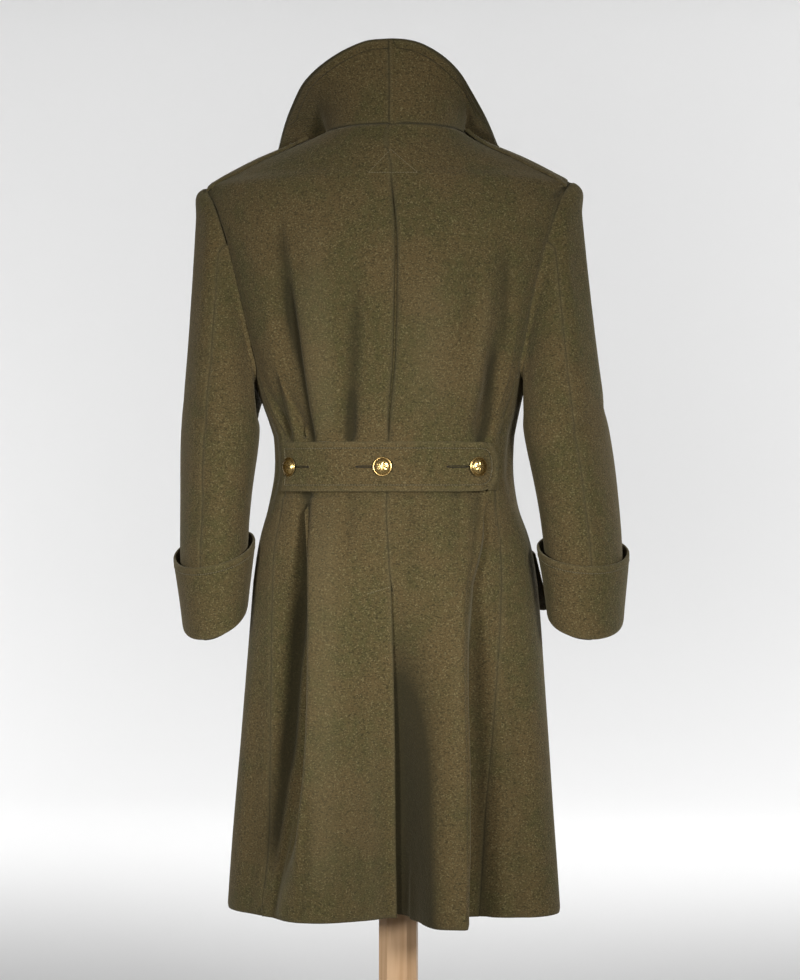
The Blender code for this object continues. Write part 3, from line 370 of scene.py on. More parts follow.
def coordinates(mesh: Mesh) -> np.ndarray:
    """Returns a mesh's points as an array."""
    flat = np.zeros(len(mesh.vertices) * 3)
    mesh.vertices.foreach_get("co", flat)
    return flat.reshape(-1, 3)


def normals_of(mesh: Mesh) -> np.ndarray:
    """Returns a mesh's normals at its points as an array."""
    return np.array([tuple(v.normal) for v in mesh.vertices])


def moved(mesh: Mesh, points: np.ndarray) -> None:
    """Gives a mesh's points new places."""
    mesh.vertices.foreach_set("co", points.ravel())
    mesh.update()


def linked(name: str, data: ID) -> Object:
    """Returns a new object that is in the scene."""
    made = bpy.data.objects.new(name, data)
    bpy.context.scene.collection.objects.link(made)
    return made


def rounded(piece: Object, levels: int, corners: str = "PRESERVE_CORNERS") -> None:
    """Adds a modifier that rounds a piece's cells."""
    modifier = piece.modifiers.new("Rounded", "SUBSURF")
    modifier.levels = modifier.render_levels = levels
    modifier.boundary_smooth = corners


def mesh_of(bm: BMesh, name: str) -> Mesh:
    """Returns a bmesh as a new mesh, and frees it."""
    mesh = bpy.data.meshes.new(name)
    bm.to_mesh(mesh)
    bm.free()
    return mesh


def shown(name: str, mesh: Mesh, material: Material) -> Object:
    """Puts a mesh in the scene as a piece that rides with the coat.

    Args:
        name: The piece's name.
        mesh: Its mesh, with its place in its points.
        material: Its finish.

    Returns:
        The new object.
    """
    piece = linked(name, mesh)
    mesh.materials.clear()
    mesh.materials.append(material)
    mesh.shade_smooth()
    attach(piece, BODY)
    return piece


def applied(piece: Object) -> None:
    """Turns a piece's modifiers into its mesh."""
    ready = piece.evaluated_get(bpy.context.evaluated_depsgraph_get())
    made = bpy.data.meshes.new_from_object(ready)
    piece.modifiers.clear()
    old, piece.data = piece.data, made
    bpy.data.meshes.remove(old)


def packed_copy(node: str) -> BMesh:
    """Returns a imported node's mesh as a bmesh, its loose triangles merged."""
    bm = bmesh.new()
    bm.from_mesh(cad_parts[node].data)
    bmesh.ops.remove_doubles(bm, verts=bm.verts, dist=WELD)
    bm.normal_update()
    return bm


# Cloth


class Wall:
    """A packed wall of cloth, taken apart into its two faces and its rim.

    Thick, facing, short and crossing are the limits by which a face belongs to the rim.
    """

    farthest = 0.05
    thick, facing, short, crossing = 2.2, 0.75, 2.75, 0.6

    def __init__(self, node: str) -> None:
        """Reads the node and measures the wall.

        Args:
            node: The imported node's name.
        """
        self.bm = packed_copy(node)
        tree = BVHTree.FromBMesh(self.bm)
        self.through: dict = {}
        self.opposite: dict = {}
        for face in self.bm.faces:
            start = face.calc_center_median() - face.normal * 2 * WELD
            hit = tree.ray_cast(start, -face.normal, self.farthest)
            self.through[face] = hit[3] if hit[0] is not None else self.farthest
            self.opposite[face] = -face.normal.dot(hit[1]) if hit[0] is not None else 0.0
        self.thickness = float(np.median(list(self.through.values())))

    def _thick_faces(self) -> set:
        """Returns the faces that don't look through one thickness of cloth."""
        return {f for f in self.bm.faces
                if self.through[f] > self.thick * self.thickness or self.opposite[f] < self.facing}

    def _short_faces(self) -> set:
        """Returns the faces on a short edge that crosses the wall."""
        outward = {}
        for point in self.bm.verts:
            total = sum((f.normal * f.calc_area() for f in point.link_faces), Vector())
            outward[point] = total.normalized()
        found = set()
        for edge in self.bm.edges:
            first, second = edge.verts
            if edge.calc_length() < self.short * self.thickness:
                way = (first.co - second.co).normalized()
                if max(abs(way.dot(outward[first])), abs(way.dot(outward[second]))) > self.crossing:
                    found.update(edge.link_faces)
        return found

    def _parted(self, rim: set, sharpest: float) -> list[list]:
        """Returns the stretches of faces left apart by the rim and by sharp edges, largest first."""
        left, found = set(self.bm.faces) - rim, []
        while left:
            todo = [left.pop()]
            stretch = list(todo)
            while todo:
                for edge in todo.pop().edges:
                    if edge.calc_face_angle(0.0) > sharpest:
                        continue
                    for face in edge.link_faces:
                        if face in left:
                            left.discard(face)
                            todo.append(face)
                            stretch.append(face)
            found.append(stretch)
        return sorted(found, key=lambda faces: -sum(f.calc_area() for f in faces))

    def faces(self) -> tuple[list, bool]:
        """Finds one whole face of the wall.

        Returns:
            Its faces, and whether they are the wall's outer side.
        """
        tries = ((self._thick_faces, math.pi), (self._short_faces, math.pi), (set, math.radians(60)))
        for rule, sharpest in tries:
            found = self._parted(rule(), sharpest)
            if len(found) > 1 and abs(len(found[0]) - len(found[1])) <= 2:
                return found[0], True
        return found[1], False


@dataclass
class ClothPiece:
    """One cut piece of cloth, from its packed wall to its finished shell."""

    node: str
    flat: tuple[float, float]
    area: float | None = None
    held: str = "draped"
    rests_on: tuple[str, ...] = ("form",)
    creases: tuple[Crease, ...] = ()
    stitching: tuple[Stitching, ...] = ()
    roll: float = SEAM_ROLL
    growth: float = EDGE_GROWTH
    over: tuple[str, ...] = ()
    levels: int = 3

    def build(self, material: Material) -> Object:
        """Makes the piece.

        Args:
            material: The cloth's finish.

        Returns:
            The finished object, which stands for its node.
        """
        wall = Wall(self.node)
        faces, outer = wall.faces()
        keep = set(faces)
        bmesh.ops.delete(wall.bm, geom=[f for f in wall.bm.faces if f not in keep], context="FACES")
        self._square_up(wall.bm)
        piece = shown("cloth_" + self.node, mesh_of(wall.bm, self.node), material)
        self._smoothed(piece)
        self._rimmed(piece)
        self.thickness, self.outer = wall.thickness, outer
        self._creased(piece)
        self.face = piece.data.copy()
        self._thickened(piece)
        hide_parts(self.node)
        return piece

    def outer_face(self) -> Mesh:
        """Returns the piece's outer face, which what is sewn on it is laid on."""
        if not self.outer:
            moved(self.face, coordinates(self.face) - normals_of(self.face) * self.thickness)
            self.face.flip_normals()
            self.face.update()
            self.outer = True
        return self.face

    def _square_up(self, bm: BMesh) -> None:
        """Takes the diagonals out, so that the face is the grid of cells it was made from."""
        bm.faces.ensure_lookup_table()
        start = bm.faces[0]
        family = {loop: i for i, loop in enumerate(start.loops)}
        todo, met = [start], {start}
        while todo:
            for loop in todo.pop().loops:
                other = loop.link_loop_radial_next
                if other.face in met or other is loop:
                    continue
                kind = family[loop]
                family[other] = kind
                family[other.link_loop_next] = (kind + 1) % 3
                family[other.link_loop_prev] = (kind + 2) % 3
                met.add(other.face)
                todo.append(other.face)
        spans = [0.0, 0.0, 0.0]
        for loop, kind in family.items():
            spans[kind] += loop.edge.calc_length() ** 2
        diagonal = spans.index(max(spans))
        cuts = {loop.edge for loop, kind in family.items()
                if kind == diagonal and len(loop.edge.link_faces) == 2}
        bmesh.ops.dissolve_edges(bm, edges=list(cuts), use_verts=False)

    def _smoothed(self, piece: Object) -> None:
        """Rounds the grid into a smooth face that still passes through the grid's own points."""
        rounded(piece, self.levels)
        aim = coordinates(piece.data)
        cage = aim.copy()
        for _ in range(FIT_PASSES):
            moved(piece.data, cage)
            ready = piece.evaluated_get(bpy.context.evaluated_depsgraph_get())
            cage += FIT_SHARE * (aim - coordinates(ready.data)[:len(aim)])
        moved(piece.data, cage)
        applied(piece)

    def _rimmed(self, piece: Object) -> None:
        """Adds a narrow row of cells along the edge, for the roll of its seams."""
        bm = bmesh.new()
        bm.from_mesh(piece.data)
        bmesh.ops.inset_region(bm, faces=bm.faces, thickness=RIM_WIDTH, use_boundary=True,
                               use_even_offset=True)
        moves = {}
        for point in bm.verts:
            inner = [e.other_vert(point) for e in point.link_edges if not e.is_boundary]
            if point.is_boundary and inner:
                moves[point] = (point.co - inner[0].co).normalized() * self.growth
        for point, move in moves.items():
            point.co += move
        bm.to_mesh(piece.data)
        bm.free()

    def _edge_places(self, mesh: Mesh) -> np.ndarray:
        """Returns the points on the face's edge, a few to each side of a cell."""
        bm = bmesh.new()
        bm.from_mesh(mesh)
        shares = (0.0, 0.34, 0.67)
        places = [e.verts[0].co.lerp(e.verts[1].co, s) for e in bm.edges if e.is_boundary for s in shares]
        bm.free()
        return np.array([tuple(p) for p in places])

    def _creased(self, piece: Object) -> None:
        """Moves the face's points for its creases and seams, and notes the wear at its edges, a painted
        highlight on crease ridges and painted shade in troughs and rolled seams.
        """
        mesh = piece.data
        points = coordinates(mesh)
        normals = normals_of(mesh) * (1.0 if self.outer else -1.0)
        edge = self._edge_places(mesh)
        gap = nearest(points, edge)
        lift = sum((c.push(points, normals) for c in self.creases), np.zeros(len(points)))
        # Painted shade in crease troughs, full where a trough is this deep.
        deep = np.clip(-lift / TROUGH_SHADE_DEPTH, 0, 1) ** 2
        # Painted highlight on crease ridges, full where a ridge is this high.
        high = np.clip(lift / RIDGE_HIGHLIGHT_HEIGHT, 0, 1)
        lift -= self.roll * np.exp(-((gap / ROLL_WIDTH) ** 2))
        limit = np.minimum(self._form_limit(mesh, normals), -WELD)
        lift = np.where(lift < 0, limit * np.tanh(lift / limit), lift)
        lift += self._cleared(points, normals, lift)
        # Paler along the edges for wear, and paler on crease ridges as a painted highlight.
        write(mesh, "wear_and_ridge_highlight", np.clip(0.55 * np.exp(-((gap / WORN_WIDTH) ** 2)) + 0.35 * high, 0, 1))
        # Painted shade along the rolled-in seams and edges.
        seam_shade = self.roll / SLEEVE_ROLL * np.exp(-((gap / SEAM_SHADE_WIDTH) ** 2))
        write(mesh, "shade_and_tarnish", np.clip(0.95 * deep + seam_shade, 0, 1))
        line = np.full(len(points), 1.0)
        for row in self.stitching[:1]:
            line = nearest(points, edge[row.where(edge)]) - row.offset
        write(mesh, "stitch_line", line)
        moved(mesh, points + normals * lift[:, None])

    def _form_limit(self, mesh: Mesh, normals: np.ndarray) -> np.ndarray:
        """Works out how far in each point may move before the cloth meets the dress form.

        Args:
            mesh: The face.
            normals: Its points' outward normals.

        Returns:
            A distance for each point, zero or less, evened out over its neighbours.
        """
        tree = BVHTree.FromBMesh(packed_copy("form"))
        down = self.thickness if self.outer else 0.0
        limit = np.full(len(normals), -FORM_REACH)
        for i, (point, normal) in enumerate(zip(mesh.vertices, normals)):
            hit = tree.ray_cast(point.co, Vector(-normal), FORM_REACH)
            if hit[0] is not None:
                limit[i] = min(0.0, FORM_GAP + down - hit[3])
        ends = np.array([tuple(e.vertices) for e in mesh.edges])
        links = 1 + np.bincount(ends.ravel(), minlength=len(limit))
        for _ in range(EVEN_PASSES):
            total = limit.copy()
            np.add.at(total, ends[:, 0], limit[ends[:, 1]])
            np.add.at(total, ends[:, 1], limit[ends[:, 0]])
            limit = total / links
        return limit

    def _cleared(self, points: np.ndarray, normals: np.ndarray, lift: np.ndarray) -> np.ndarray:
        """Works out how far the piece must rise to lie on the pieces under it.

        Args:
            points: The face's points.
            normals: Their outward normals.
            lift: What they already move out.

        Returns:
            A further distance for each point.
        """
        extra = np.zeros(len(points))
        down = self.thickness if self.outer else 0.0
        for name in self.over:
            tree = surface_tree(bpy.data.objects["cloth_" + name].data)
            for i, (point, normal) in enumerate(zip(points, normals)):
                high = Vector(point + normal * (lift[i] + LAID_FROM))
                hit = tree.ray_cast(high, Vector(-normal), LAID_REACH)
                if hit[0] is not None and hit[1].dot(Vector(normal)) > 0.2:
                    extra[i] = max(extra[i], LAID_GAP + down + LAID_FROM - hit[3])
        return extra

    def _thickened(self, piece: Object) -> None:
        """Gives the face its wall and rounds the folded edges."""
        solid = piece.modifiers.new("Wall", "SOLIDIFY")
        solid.thickness = self.thickness
        solid.offset = -1.0
        solid.use_quality_normals = True
        turned = piece.modifiers.new("Turned edge", "BEVEL")
        turned.width = 0.32 * self.thickness
        turned.segments = 2
        turned.limit_method = "ANGLE"
        turned.angle_limit = math.radians(50)
        applied(piece)
        piece.data.shade_smooth()


def nearest(points: np.ndarray, places: np.ndarray) -> np.ndarray:
    """Returns each point's distance to the nearest of some places."""
    tree = KDTree(len(places))
    for i, place in enumerate(places):
        tree.insert(place, i)
    tree.balance()
    return np.array([tree.find(p)[2] for p in points])


def write(mesh: Mesh, name: str, values: np.ndarray) -> None:
    """Puts one number for each point on a mesh, for its material to read."""
    mesh.attributes.new(name, "FLOAT", "POINT").data.foreach_set("value", values.astype(np.float32))


def surface_tree(mesh: Mesh) -> BVHTree:
    """Returns a mesh ready to be met by rays."""
    return BVHTree.FromPolygons([v.co for v in mesh.vertices], [tuple(p.vertices) for p in mesh.polygons])


def met(trees: list[BVHTree], side: Side, places: list[tuple]) -> list[tuple[Vector, Vector]]:
    """Finds where some faces are first met from one side of the coat.

    Args:
        trees: The faces.
        side: The side they are seen from.
        places: Places across that side, with their heights.

    Returns:
        The points that are met, with their normals.
    """
    out, line = Vector(side.value), []
    for across, height in places:
        start = Vector((across, 0.0, height)) + out * VIEW_FROM
        hits = [hit for tree in trees if (hit := tree.ray_cast(start, -out, VIEW_REACH))[0] is not None]
        if hits:
            line.append(min(hits, key=lambda hit: hit[3])[:2])
    return line


def edge_chains(mesh: Mesh) -> list[list[int]]:
    """Returns a face's edge as closed rounds of point numbers, in order."""
    bm = bmesh.new()
    bm.from_mesh(mesh)
    ahead = {}
    for edge in bm.edges:
        if edge.is_boundary:
            loop = edge.link_loops[0]
            ahead[loop.vert.index] = loop.link_loop_next.vert.index
    bm.free()
    rounds = []
    while ahead:
        first, second = ahead.popitem()
        chain = [first, second]
        while chain[-1] in ahead:
            chain.append(ahead.pop(chain[-1]))
        rounds.append(chain)
    return rounds


def spaced(line: np.ndarray, pitch: float) -> np.ndarray:
    """Returns places along a line at an even pitch."""
    steps = np.linalg.norm(np.diff(line, axis=0), axis=1)
    run = np.concatenate(([0.0], np.cumsum(steps)))
    marks = np.arange(pitch / 2, run[-1], pitch)
    return np.column_stack([np.interp(marks, run, line[:, i]) for i in range(3)])


# The coat


def above(height: float) -> Callable[[np.ndarray], np.ndarray]:
    """Returns a test for places above a height."""
    return lambda places: places[:, 2] > height


def right_of(x: float) -> Callable[[np.ndarray], np.ndarray]:
    """Returns a test for places to the wearer's right of X."""
    return lambda places: places[:, 0] > x


BACK_CREASES = creases(
    Side.BACK,
    ((0.002, 1.412), (0.01, 1.21), 0.005, -0.0032, 0.0, 0.0, (0.1, 0.2)),
    ((0.01, 1.26), (-0.003, 1.04), 0.005, -0.0032, 0.0, 0.0, (0.2, 0.1)),
    ((-0.03, 0.74), (-0.026, 0.43), 0.022, 0.0036, 0.0, 0.0, (0.4, 0.01)),
    ((-0.15, 1.375), (-0.122, 1.15), 0.011, -0.0065, 0.002, 0.45),
    ((-0.14, 1.285), (-0.102, 1.04), 0.008, -0.0078, 0.001, 0.3, (0.35, 0.12)),
    ((-0.122, 1.3), (-0.086, 1.05), 0.011, 0.0036, 0.001, 0.0, (0.35, 0.2)),
    ((-0.104, 1.36), (-0.078, 1.06), 0.016, 0.0045, 0.0, 0.0, (0.4, 0.2)),
    ((-0.04, 1.31), (-0.053, 1.05), 0.0125, -0.0065, 0.0, 0.15, (0.45, 0.1)),
    ((-0.05, 1.14), (-0.055, 1.04), 0.0075, -0.0045, 0.0, 0.25, (0.4, 0.1)),
    ((-0.16, 1.17), (-0.134, 1.04), 0.008, -0.006),
    ((0.14, 1.215), (0.115, 1.04), 0.0095, -0.0085, 0.001, 0.35, (0.35, 0.12)),
    ((0.15, 1.34), (0.144, 1.15), 0.011, -0.0055, 0.002, 0.3),
    ((0.105, 1.33), (0.098, 1.15), 0.012, -0.0032, 0.002, 0.3),
    ((0.128, 1.29), (0.104, 1.06), 0.011, 0.0028),
    ((0.052, 1.3), (0.05, 1.06), 0.03, 0.003),
    ((-0.111, 1.06), (-0.117, 0.77), 0.01, -0.0078, 0.0, 0.3, (0.3, 0.3)),
    ((-0.15, 0.995), (0.108, 0.996), 0.0036, -0.0034, 0.0, 0.0, (0.02, 0.02)),
    ((-0.114, 0.88), (-0.136, 0.62), 0.0125, -0.0105, 0.0, 0.4),
    ((-0.126, 0.72), (-0.166, 0.47), 0.015, -0.008, 0.0, 0.35),
    ((-0.083, 1.0), (-0.083, 0.46), 0.02, 0.005, 0.0, 0.0, (0.2, 0.15)),
    ((-0.11, 0.64), (-0.14, 0.45), 0.007, 0.0042, 0.0, 0.0, (0.4, 0.02)),
    ((-0.098, 0.64), (-0.114, 0.45), 0.008, -0.0034, 0.0, 0.0, (0.4, 0.02)),
    ((-0.052, 1.01), (-0.054, 0.9), 0.008, -0.0035),
    ((-0.03, 0.86), (-0.034, 0.45), 0.009, -0.0016, 0.0, 0.0, (0.2, 0.02)),
    ((0.089, 0.9), (0.089, 0.44), 0.012, 0.003, 0.0, 0.0, (0.3, 0.02)),
    ((0.12, 1.06), (0.104, 0.83), 0.008, -0.005, 0.0, 0.3),
    ((0.108, 0.9), (0.119, 0.43), 0.01, -0.005, 0.0, 0.3, (0.3, 0.02)),
    ((0.026, 1.01), (0.034, 0.86), 0.012, -0.0028),
    ((0.083, 1.06), (0.09, 0.89), 0.008, -0.003),
    ((0.15, 0.78), (0.168, 0.44), 0.015, -0.003, 0.0, 0.0, (0.3, 0.02)),
    ((-0.168, 0.82), (-0.19, 0.44), 0.014, -0.003, 0.0, 0.0, (0.3, 0.02)),
)
VENT_HOLLOW = creases(
    Side.BACK,
    ((0.01, 0.93), (0.017, 0.42), 0.052, -0.012, 0.0, 0.0, (0.6, 0.01)),
    ((0.016, 0.7), (0.022, 0.42), 0.014, -0.0035, 0.0, 0.0, (0.5, 0.01)),
)
SIDE_CREASES = creases(
    Side.LEFT,
    ((-0.03, 1.12), (-0.045, 0.96), 0.011, -0.0035),
    ((0.02, 1.08), (0.03, 0.9), 0.013, -0.003),
    ((0.01, 0.88), (0.02, 0.52), 0.019, -0.004),
    ((0.06, 0.82), (0.08, 0.47), 0.018, 0.003),
) + creases(
    Side.RIGHT,
    ((-0.025, 1.12), (-0.038, 0.97), 0.011, -0.0035),
    ((0.024, 1.09), (0.034, 0.89), 0.013, -0.003),
    ((0.016, 0.86), (0.028, 0.5), 0.019, -0.004),
    ((0.064, 0.8), (0.076, 0.46), 0.018, 0.003),
)
FRONT_CREASES = creases(
    Side.FRONT,
    ((-0.135, 1.38), (-0.112, 1.11), 0.013, -0.0045, 0.004),
    ((0.138, 1.37), (0.114, 1.12), 0.013, -0.0042, -0.004),
    ((-0.118, 1.12), (-0.126, 0.93), 0.011, -0.0038),
    ((0.12, 1.1), (0.128, 0.92), 0.011, -0.0036),
    ((-0.12, 0.84), (-0.14, 0.48), 0.018, -0.0048),
    ((0.116, 0.82), (0.134, 0.47), 0.018, -0.0046),
    ((-0.04, 0.86), (-0.05, 0.46), 0.018, -0.003),
    ((0.042, 0.85), (0.048, 0.47), 0.019, 0.0026),
)
SLEEVE_CREASES = creases(
    Side.BACK,
    ((-0.262, 1.19), (-0.222, 1.15), 0.01, -0.0026),
    ((-0.27, 1.12), (-0.225, 1.06), 0.011, -0.0028),
    ((-0.232, 1.33), (-0.245, 1.23), 0.012, -0.0022),
    ((-0.24, 1.01), (-0.262, 0.93), 0.012, -0.002),
    ((0.262, 1.18), (0.218, 1.14), 0.01, -0.0026),
    ((0.268, 1.11), (0.224, 1.05), 0.011, -0.0028),
    ((0.236, 1.32), (0.246, 1.23), 0.012, -0.0022),
    ((0.25, 1.01), (0.27, 0.94), 0.012, -0.002),
) + creases(
    Side.LEFT,
    ((-0.045, 1.13), (0.015, 1.09), 0.011, -0.003),
) + creases(
    Side.RIGHT,
    ((-0.045, 1.12), (0.015, 1.08), 0.011, -0.003),
) + creases(
    Side.FRONT,
    ((-0.262, 1.12), (-0.225, 1.085), 0.01, -0.0036),
    ((-0.26, 1.08), (-0.228, 1.05), 0.009, -0.003),
    ((0.262, 1.11), (0.222, 1.075), 0.01, -0.0036),
    ((0.262, 1.07), (0.226, 1.042), 0.009, -0.003),
) + creases(
    Side.LEFT,
    ((0.0, 1.44), (0.0, 1.364), 0.055, 0.0046, 0.0, 0.0, (0.3, 0.55)),
) + creases(
    Side.RIGHT,
    ((0.0, 1.44), (0.0, 1.364), 0.055, 0.008, 0.0, 0.0, (0.3, 0.55)),
)
COLLAR_CREASES = creases(
    Side.BACK,
    ((-0.046, 1.535), (-0.094, 1.45), 0.011, -0.012, 0.0, -0.25, (0.4, 0.1)),
    ((-0.052, 1.5), (-0.088, 1.452), 0.007, -0.006, 0.0, 0.0, (0.4, 0.1)),
    ((-0.084, 1.545), (-0.122, 1.48), 0.012, 0.004),
    ((0.064, 1.535), (0.094, 1.45), 0.012, -0.01, 0.0, 0.2, (0.4, 0.1)),
    ((0.02, 1.5), (0.03, 1.462), 0.014, -0.0018),
)
PLEAT_TACK = ((-0.0290, 1.4090), (-0.0010, 1.4400), (0.0340, 1.4090), (-0.0290, 1.4090))
VENT_TACK = ((0.0030, 0.8770), (-0.0260, 0.8680))
COLLAR_ROW = ((-0.0260, 1.5135), (0.0420, 1.5135))


class Greatcoat:
    """The whole coat: its cut pieces, and what is sewn on them."""

    def __init__(self) -> None:
        """Sets the finishes and lists the pieces, the lower ones first."""
        self.wool = Melton().material()
        self.thread = Thread().material()
        self.silk = Thread((0.016, 0.012, 0.006)).material("buttonhole_silk")
        body = BACK_CREASES + SIDE_CREASES + FRONT_CREASES
        collar_edge = (Stitching(0.0125, lambda p: (p[:, 2] > 1.497) & (abs(p[:, 0] - 0.004) > 0.010)),)
        front_edge = (Stitching(0.0110, lambda p: (p[:, 1] > 0.03) & (abs(p[:, 0]) < 0.10)
                                & (p[:, 2] > 0.452)),)
        self.pieces = [
            ClothPiece("back_left", (0.30, 1.03), area=0.235, creases=body),
            ClothPiece("back_right", (0.33, 1.03), area=0.240, creases=body + VENT_HOLLOW),
            ClothPiece("pleat_underlay", (0.12, 0.38), area=0.042, creases=body, levels=2),
            ClothPiece("side_left", (0.26, 0.72), area=0.135, creases=body),
            ClothPiece("side_right", (0.28, 0.72), area=0.146, creases=body),
            ClothPiece("front_right", (0.36, 1.03), area=0.285, creases=body),
            ClothPiece("front_left", (0.36, 1.03), area=0.290, creases=body, stitching=front_edge),
        ]
        for side in ("left", "right"):
            for half, flat, area in (("under", (0.17, 0.55), 0.067), ("top", (0.24, 0.62), 0.110)):
                self._add(f"sleeve_{side}_{half}", flat, area, creases=SLEEVE_CREASES, roll=SLEEVE_ROLL)
        for side, low in (("left", 0.870), ("right", 0.875)):
            self._laid("cuff_" + side, (0.36, 0.10), None, Stitching(0.0095, above(low)))
        for name, flat, area in (("top", (0.46, 0.11), 0.0425), ("under_left", (0.24, 0.11), 0.0225),
                                 ("under_right", (0.22, 0.11), 0.0190)):
            self._add("collar_" + name, flat, area, creases=COLLAR_CREASES, stitching=collar_edge,
                      growth=COLLAR_GROWTH)
        self._laid("belt_end", (0.06, 0.05), None)
        self._laid("half_belt", (0.33, 0.064), None, Stitching(0.0085, right_of(-0.150)),
                   over=("back_left", "back_right"))
        for name, flat, area, offset in (("flap", (0.16, 0.085), 0.0098, 0.0085),
                                         ("strap", (0.150, 0.056), 0.0072, 0.0060)):
            for side in ("left", "right"):
                self._laid(f"{name}_{side}", flat, area, Stitching(offset))

    def _add(self, node: str, flat: tuple, area: float | None, **values: object) -> None:
        """Adds a piece of cloth to the list."""
        self.pieces.append(ClothPiece(node, flat, area=area, **values))

    def _laid(self, node: str, flat: tuple, area: float | None, *rows: Stitching, **values: object) -> None:
        """Adds a piece that is laid on another one, with its rows of stitches."""
        self._add(node, flat, area, stitching=rows, roll=EDGE_ROLL, **values)

    def build(self) -> None:
        """Makes every piece in order, then the sewing on them."""
        for piece in self.pieces:
            made = piece.build(self.wool)
            LOG.info("%s: %d points, %.2f mm thick", made.name, len(made.data.vertices),
                     piece.thickness * 1e3)
        sewing = Sewing(self.thread)
        faces = {piece.node: piece.outer_face() for piece in self.pieces}
        for piece in self.pieces:
            for row in piece.stitching:
                sewing.along_edge(faces[piece.node], row)
        backs = [surface_tree(faces[n]) for n in ("back_left", "back_right")]
        sewing.across(backs, Side.BACK, PLEAT_TACK)
        sewing.across(backs, Side.BACK, VENT_TACK)
        sewing.across([surface_tree(faces[n]) for n in ("collar_under_left", "collar_under_right")],
                      Side.BACK, COLLAR_ROW)
        sewing.build("topstitching")
        holes = Buttonholes(self.silk, surface_tree(faces["half_belt"]))
        holes.build("belt_buttonholes", Side.BACK, 1.030,
                    ((-0.1280, -0.1080), (-0.0450, -0.0165), (0.0720, 0.0990)))
        front = Buttonholes(self.silk, surface_tree(faces["front_left"]))
        for row, height in enumerate((0.905, 1.030, 1.155, 1.280), start=1):
            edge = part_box(f"button_front_right_{row}")[1].x
            front.build(f"front_buttonhole_{row}", Side.FRONT, height, ((edge - 0.004, edge + 0.012),))


class Sewing:
    """Rows of stitches, each a small bead of thread half sunk in the cloth."""

    length, thick, raised = 0.0031, 0.00095, 0.00010
    shortest, longest, tack_pitch = 1e-4, 0.012, 0.0034
    reach, free_share = 0.02, 0.90

    def __init__(self, thread: Material) -> None:
        """Starts with no stitches.

        Args:
            thread: The thread's finish.
        """
        self.thread = thread
        self.places: list[Matrix] = []

    def _add(self, line: list[tuple[Vector, Vector]]) -> None:
        """Adds a stitch on each stretch of a line of places and outward normals."""
        for (start, normal), (end, _) in zip(line, line[1:]):
            way = end - start
            if not self.shortest < way.length < self.longest:
                continue
            x, z = way.normalized(), normal.normalized()
            y = z.cross(x).normalized()
            turn = Matrix((x, y, x.cross(y))).transposed().to_4x4()
            self.places.append(Matrix.Translation((start + end) / 2 + z * self.raised) @ turn)

    def along_edge(self, mesh: Mesh, row: Stitching) -> None:
        """Sews a row at its distance inside a face's edge.

        Args:
            mesh: The piece's outer face.
            row: The line of stitches.
        """
        tree = surface_tree(mesh)
        points, normals = coordinates(mesh), normals_of(mesh)
        for chain in edge_chains(mesh):
            edge, out = points[chain], normals[chain]
            ahead = np.gradient(edge, axis=0)
            inward = np.cross(out, ahead)
            inward /= np.linalg.norm(inward, axis=1)[:, None] + 1e-12
            chosen = row.where(edge)
            run: list[np.ndarray] = []
            for i in range(len(chain) + 1):
                if i < len(chain) and chosen[i]:
                    run.append(edge[i] + inward[i] * row.offset)
                    continue
                if len(run) > 2:
                    self._snapped(tree, np.array(run), row, edge[chosen])
                run = []

    def _snapped(self, tree: BVHTree, run: np.ndarray, row: Stitching, edge: np.ndarray) -> None:
        """Lays a run of places on the cloth, leaving out those too near another stretch of edge."""
        run = run[nearest(run, edge) > self.free_share * row.offset]
        if len(run) < 3:
            return
        hits = [tree.find_nearest(Vector(place), self.reach) for place in spaced(run, row.pitch)]
        self._add([hit[:2] for hit in hits if hit[0] is not None])

    def across(self, trees: list[BVHTree], side: Side, corners: tuple) -> None:
        """Sews straight rows between places on one side of the coat.

        Args:
            trees: The faces that carry them.
            side: The side they are seen from.
            corners: Where the rows start, turn and end.
        """
        for (x0, z0), (x1, z1) in zip(corners, corners[1:]):
            count = max(2, round(math.hypot(x1 - x0, z1 - z0) / self.tack_pitch))
            places = [(x0 + (x1 - x0) * share, z0 + (z1 - z0) * share)
                      for share in np.linspace(0.0, 1.0, count + 1)]
            self._add(met(trees, side, places))

    def build(self, name: str) -> None:
        """Joins every stitch into one piece."""
        bm = bmesh.new()
        bmesh.ops.create_uvsphere(bm, u_segments=5, v_segments=4, radius=0.5)
        bmesh.ops.rotate(bm, verts=bm.verts, matrix=Matrix.Rotation(math.pi / 2, 3, "Y"))
        bmesh.ops.scale(bm, vec=(self.length, self.thick, self.thick), verts=bm.verts)
        one = mesh_of(bm, "one_stitch")
        shape = coordinates(one)
        faces = [tuple(p.vertices) for p in one.polygons]
        points = np.concatenate([shape @ np.array(place.to_3x3()).T + np.array(place.translation)
                                 for place in self.places])
        mesh = bpy.data.meshes.new(name)
        mesh.from_pydata(points.tolist(), [], [tuple(i + n * len(shape) for i in face)
                                               for n in range(len(self.places)) for face in faces])
        shown(name, mesh, self.thread)
        LOG.info("%s: %d stitches", name, len(self.places))


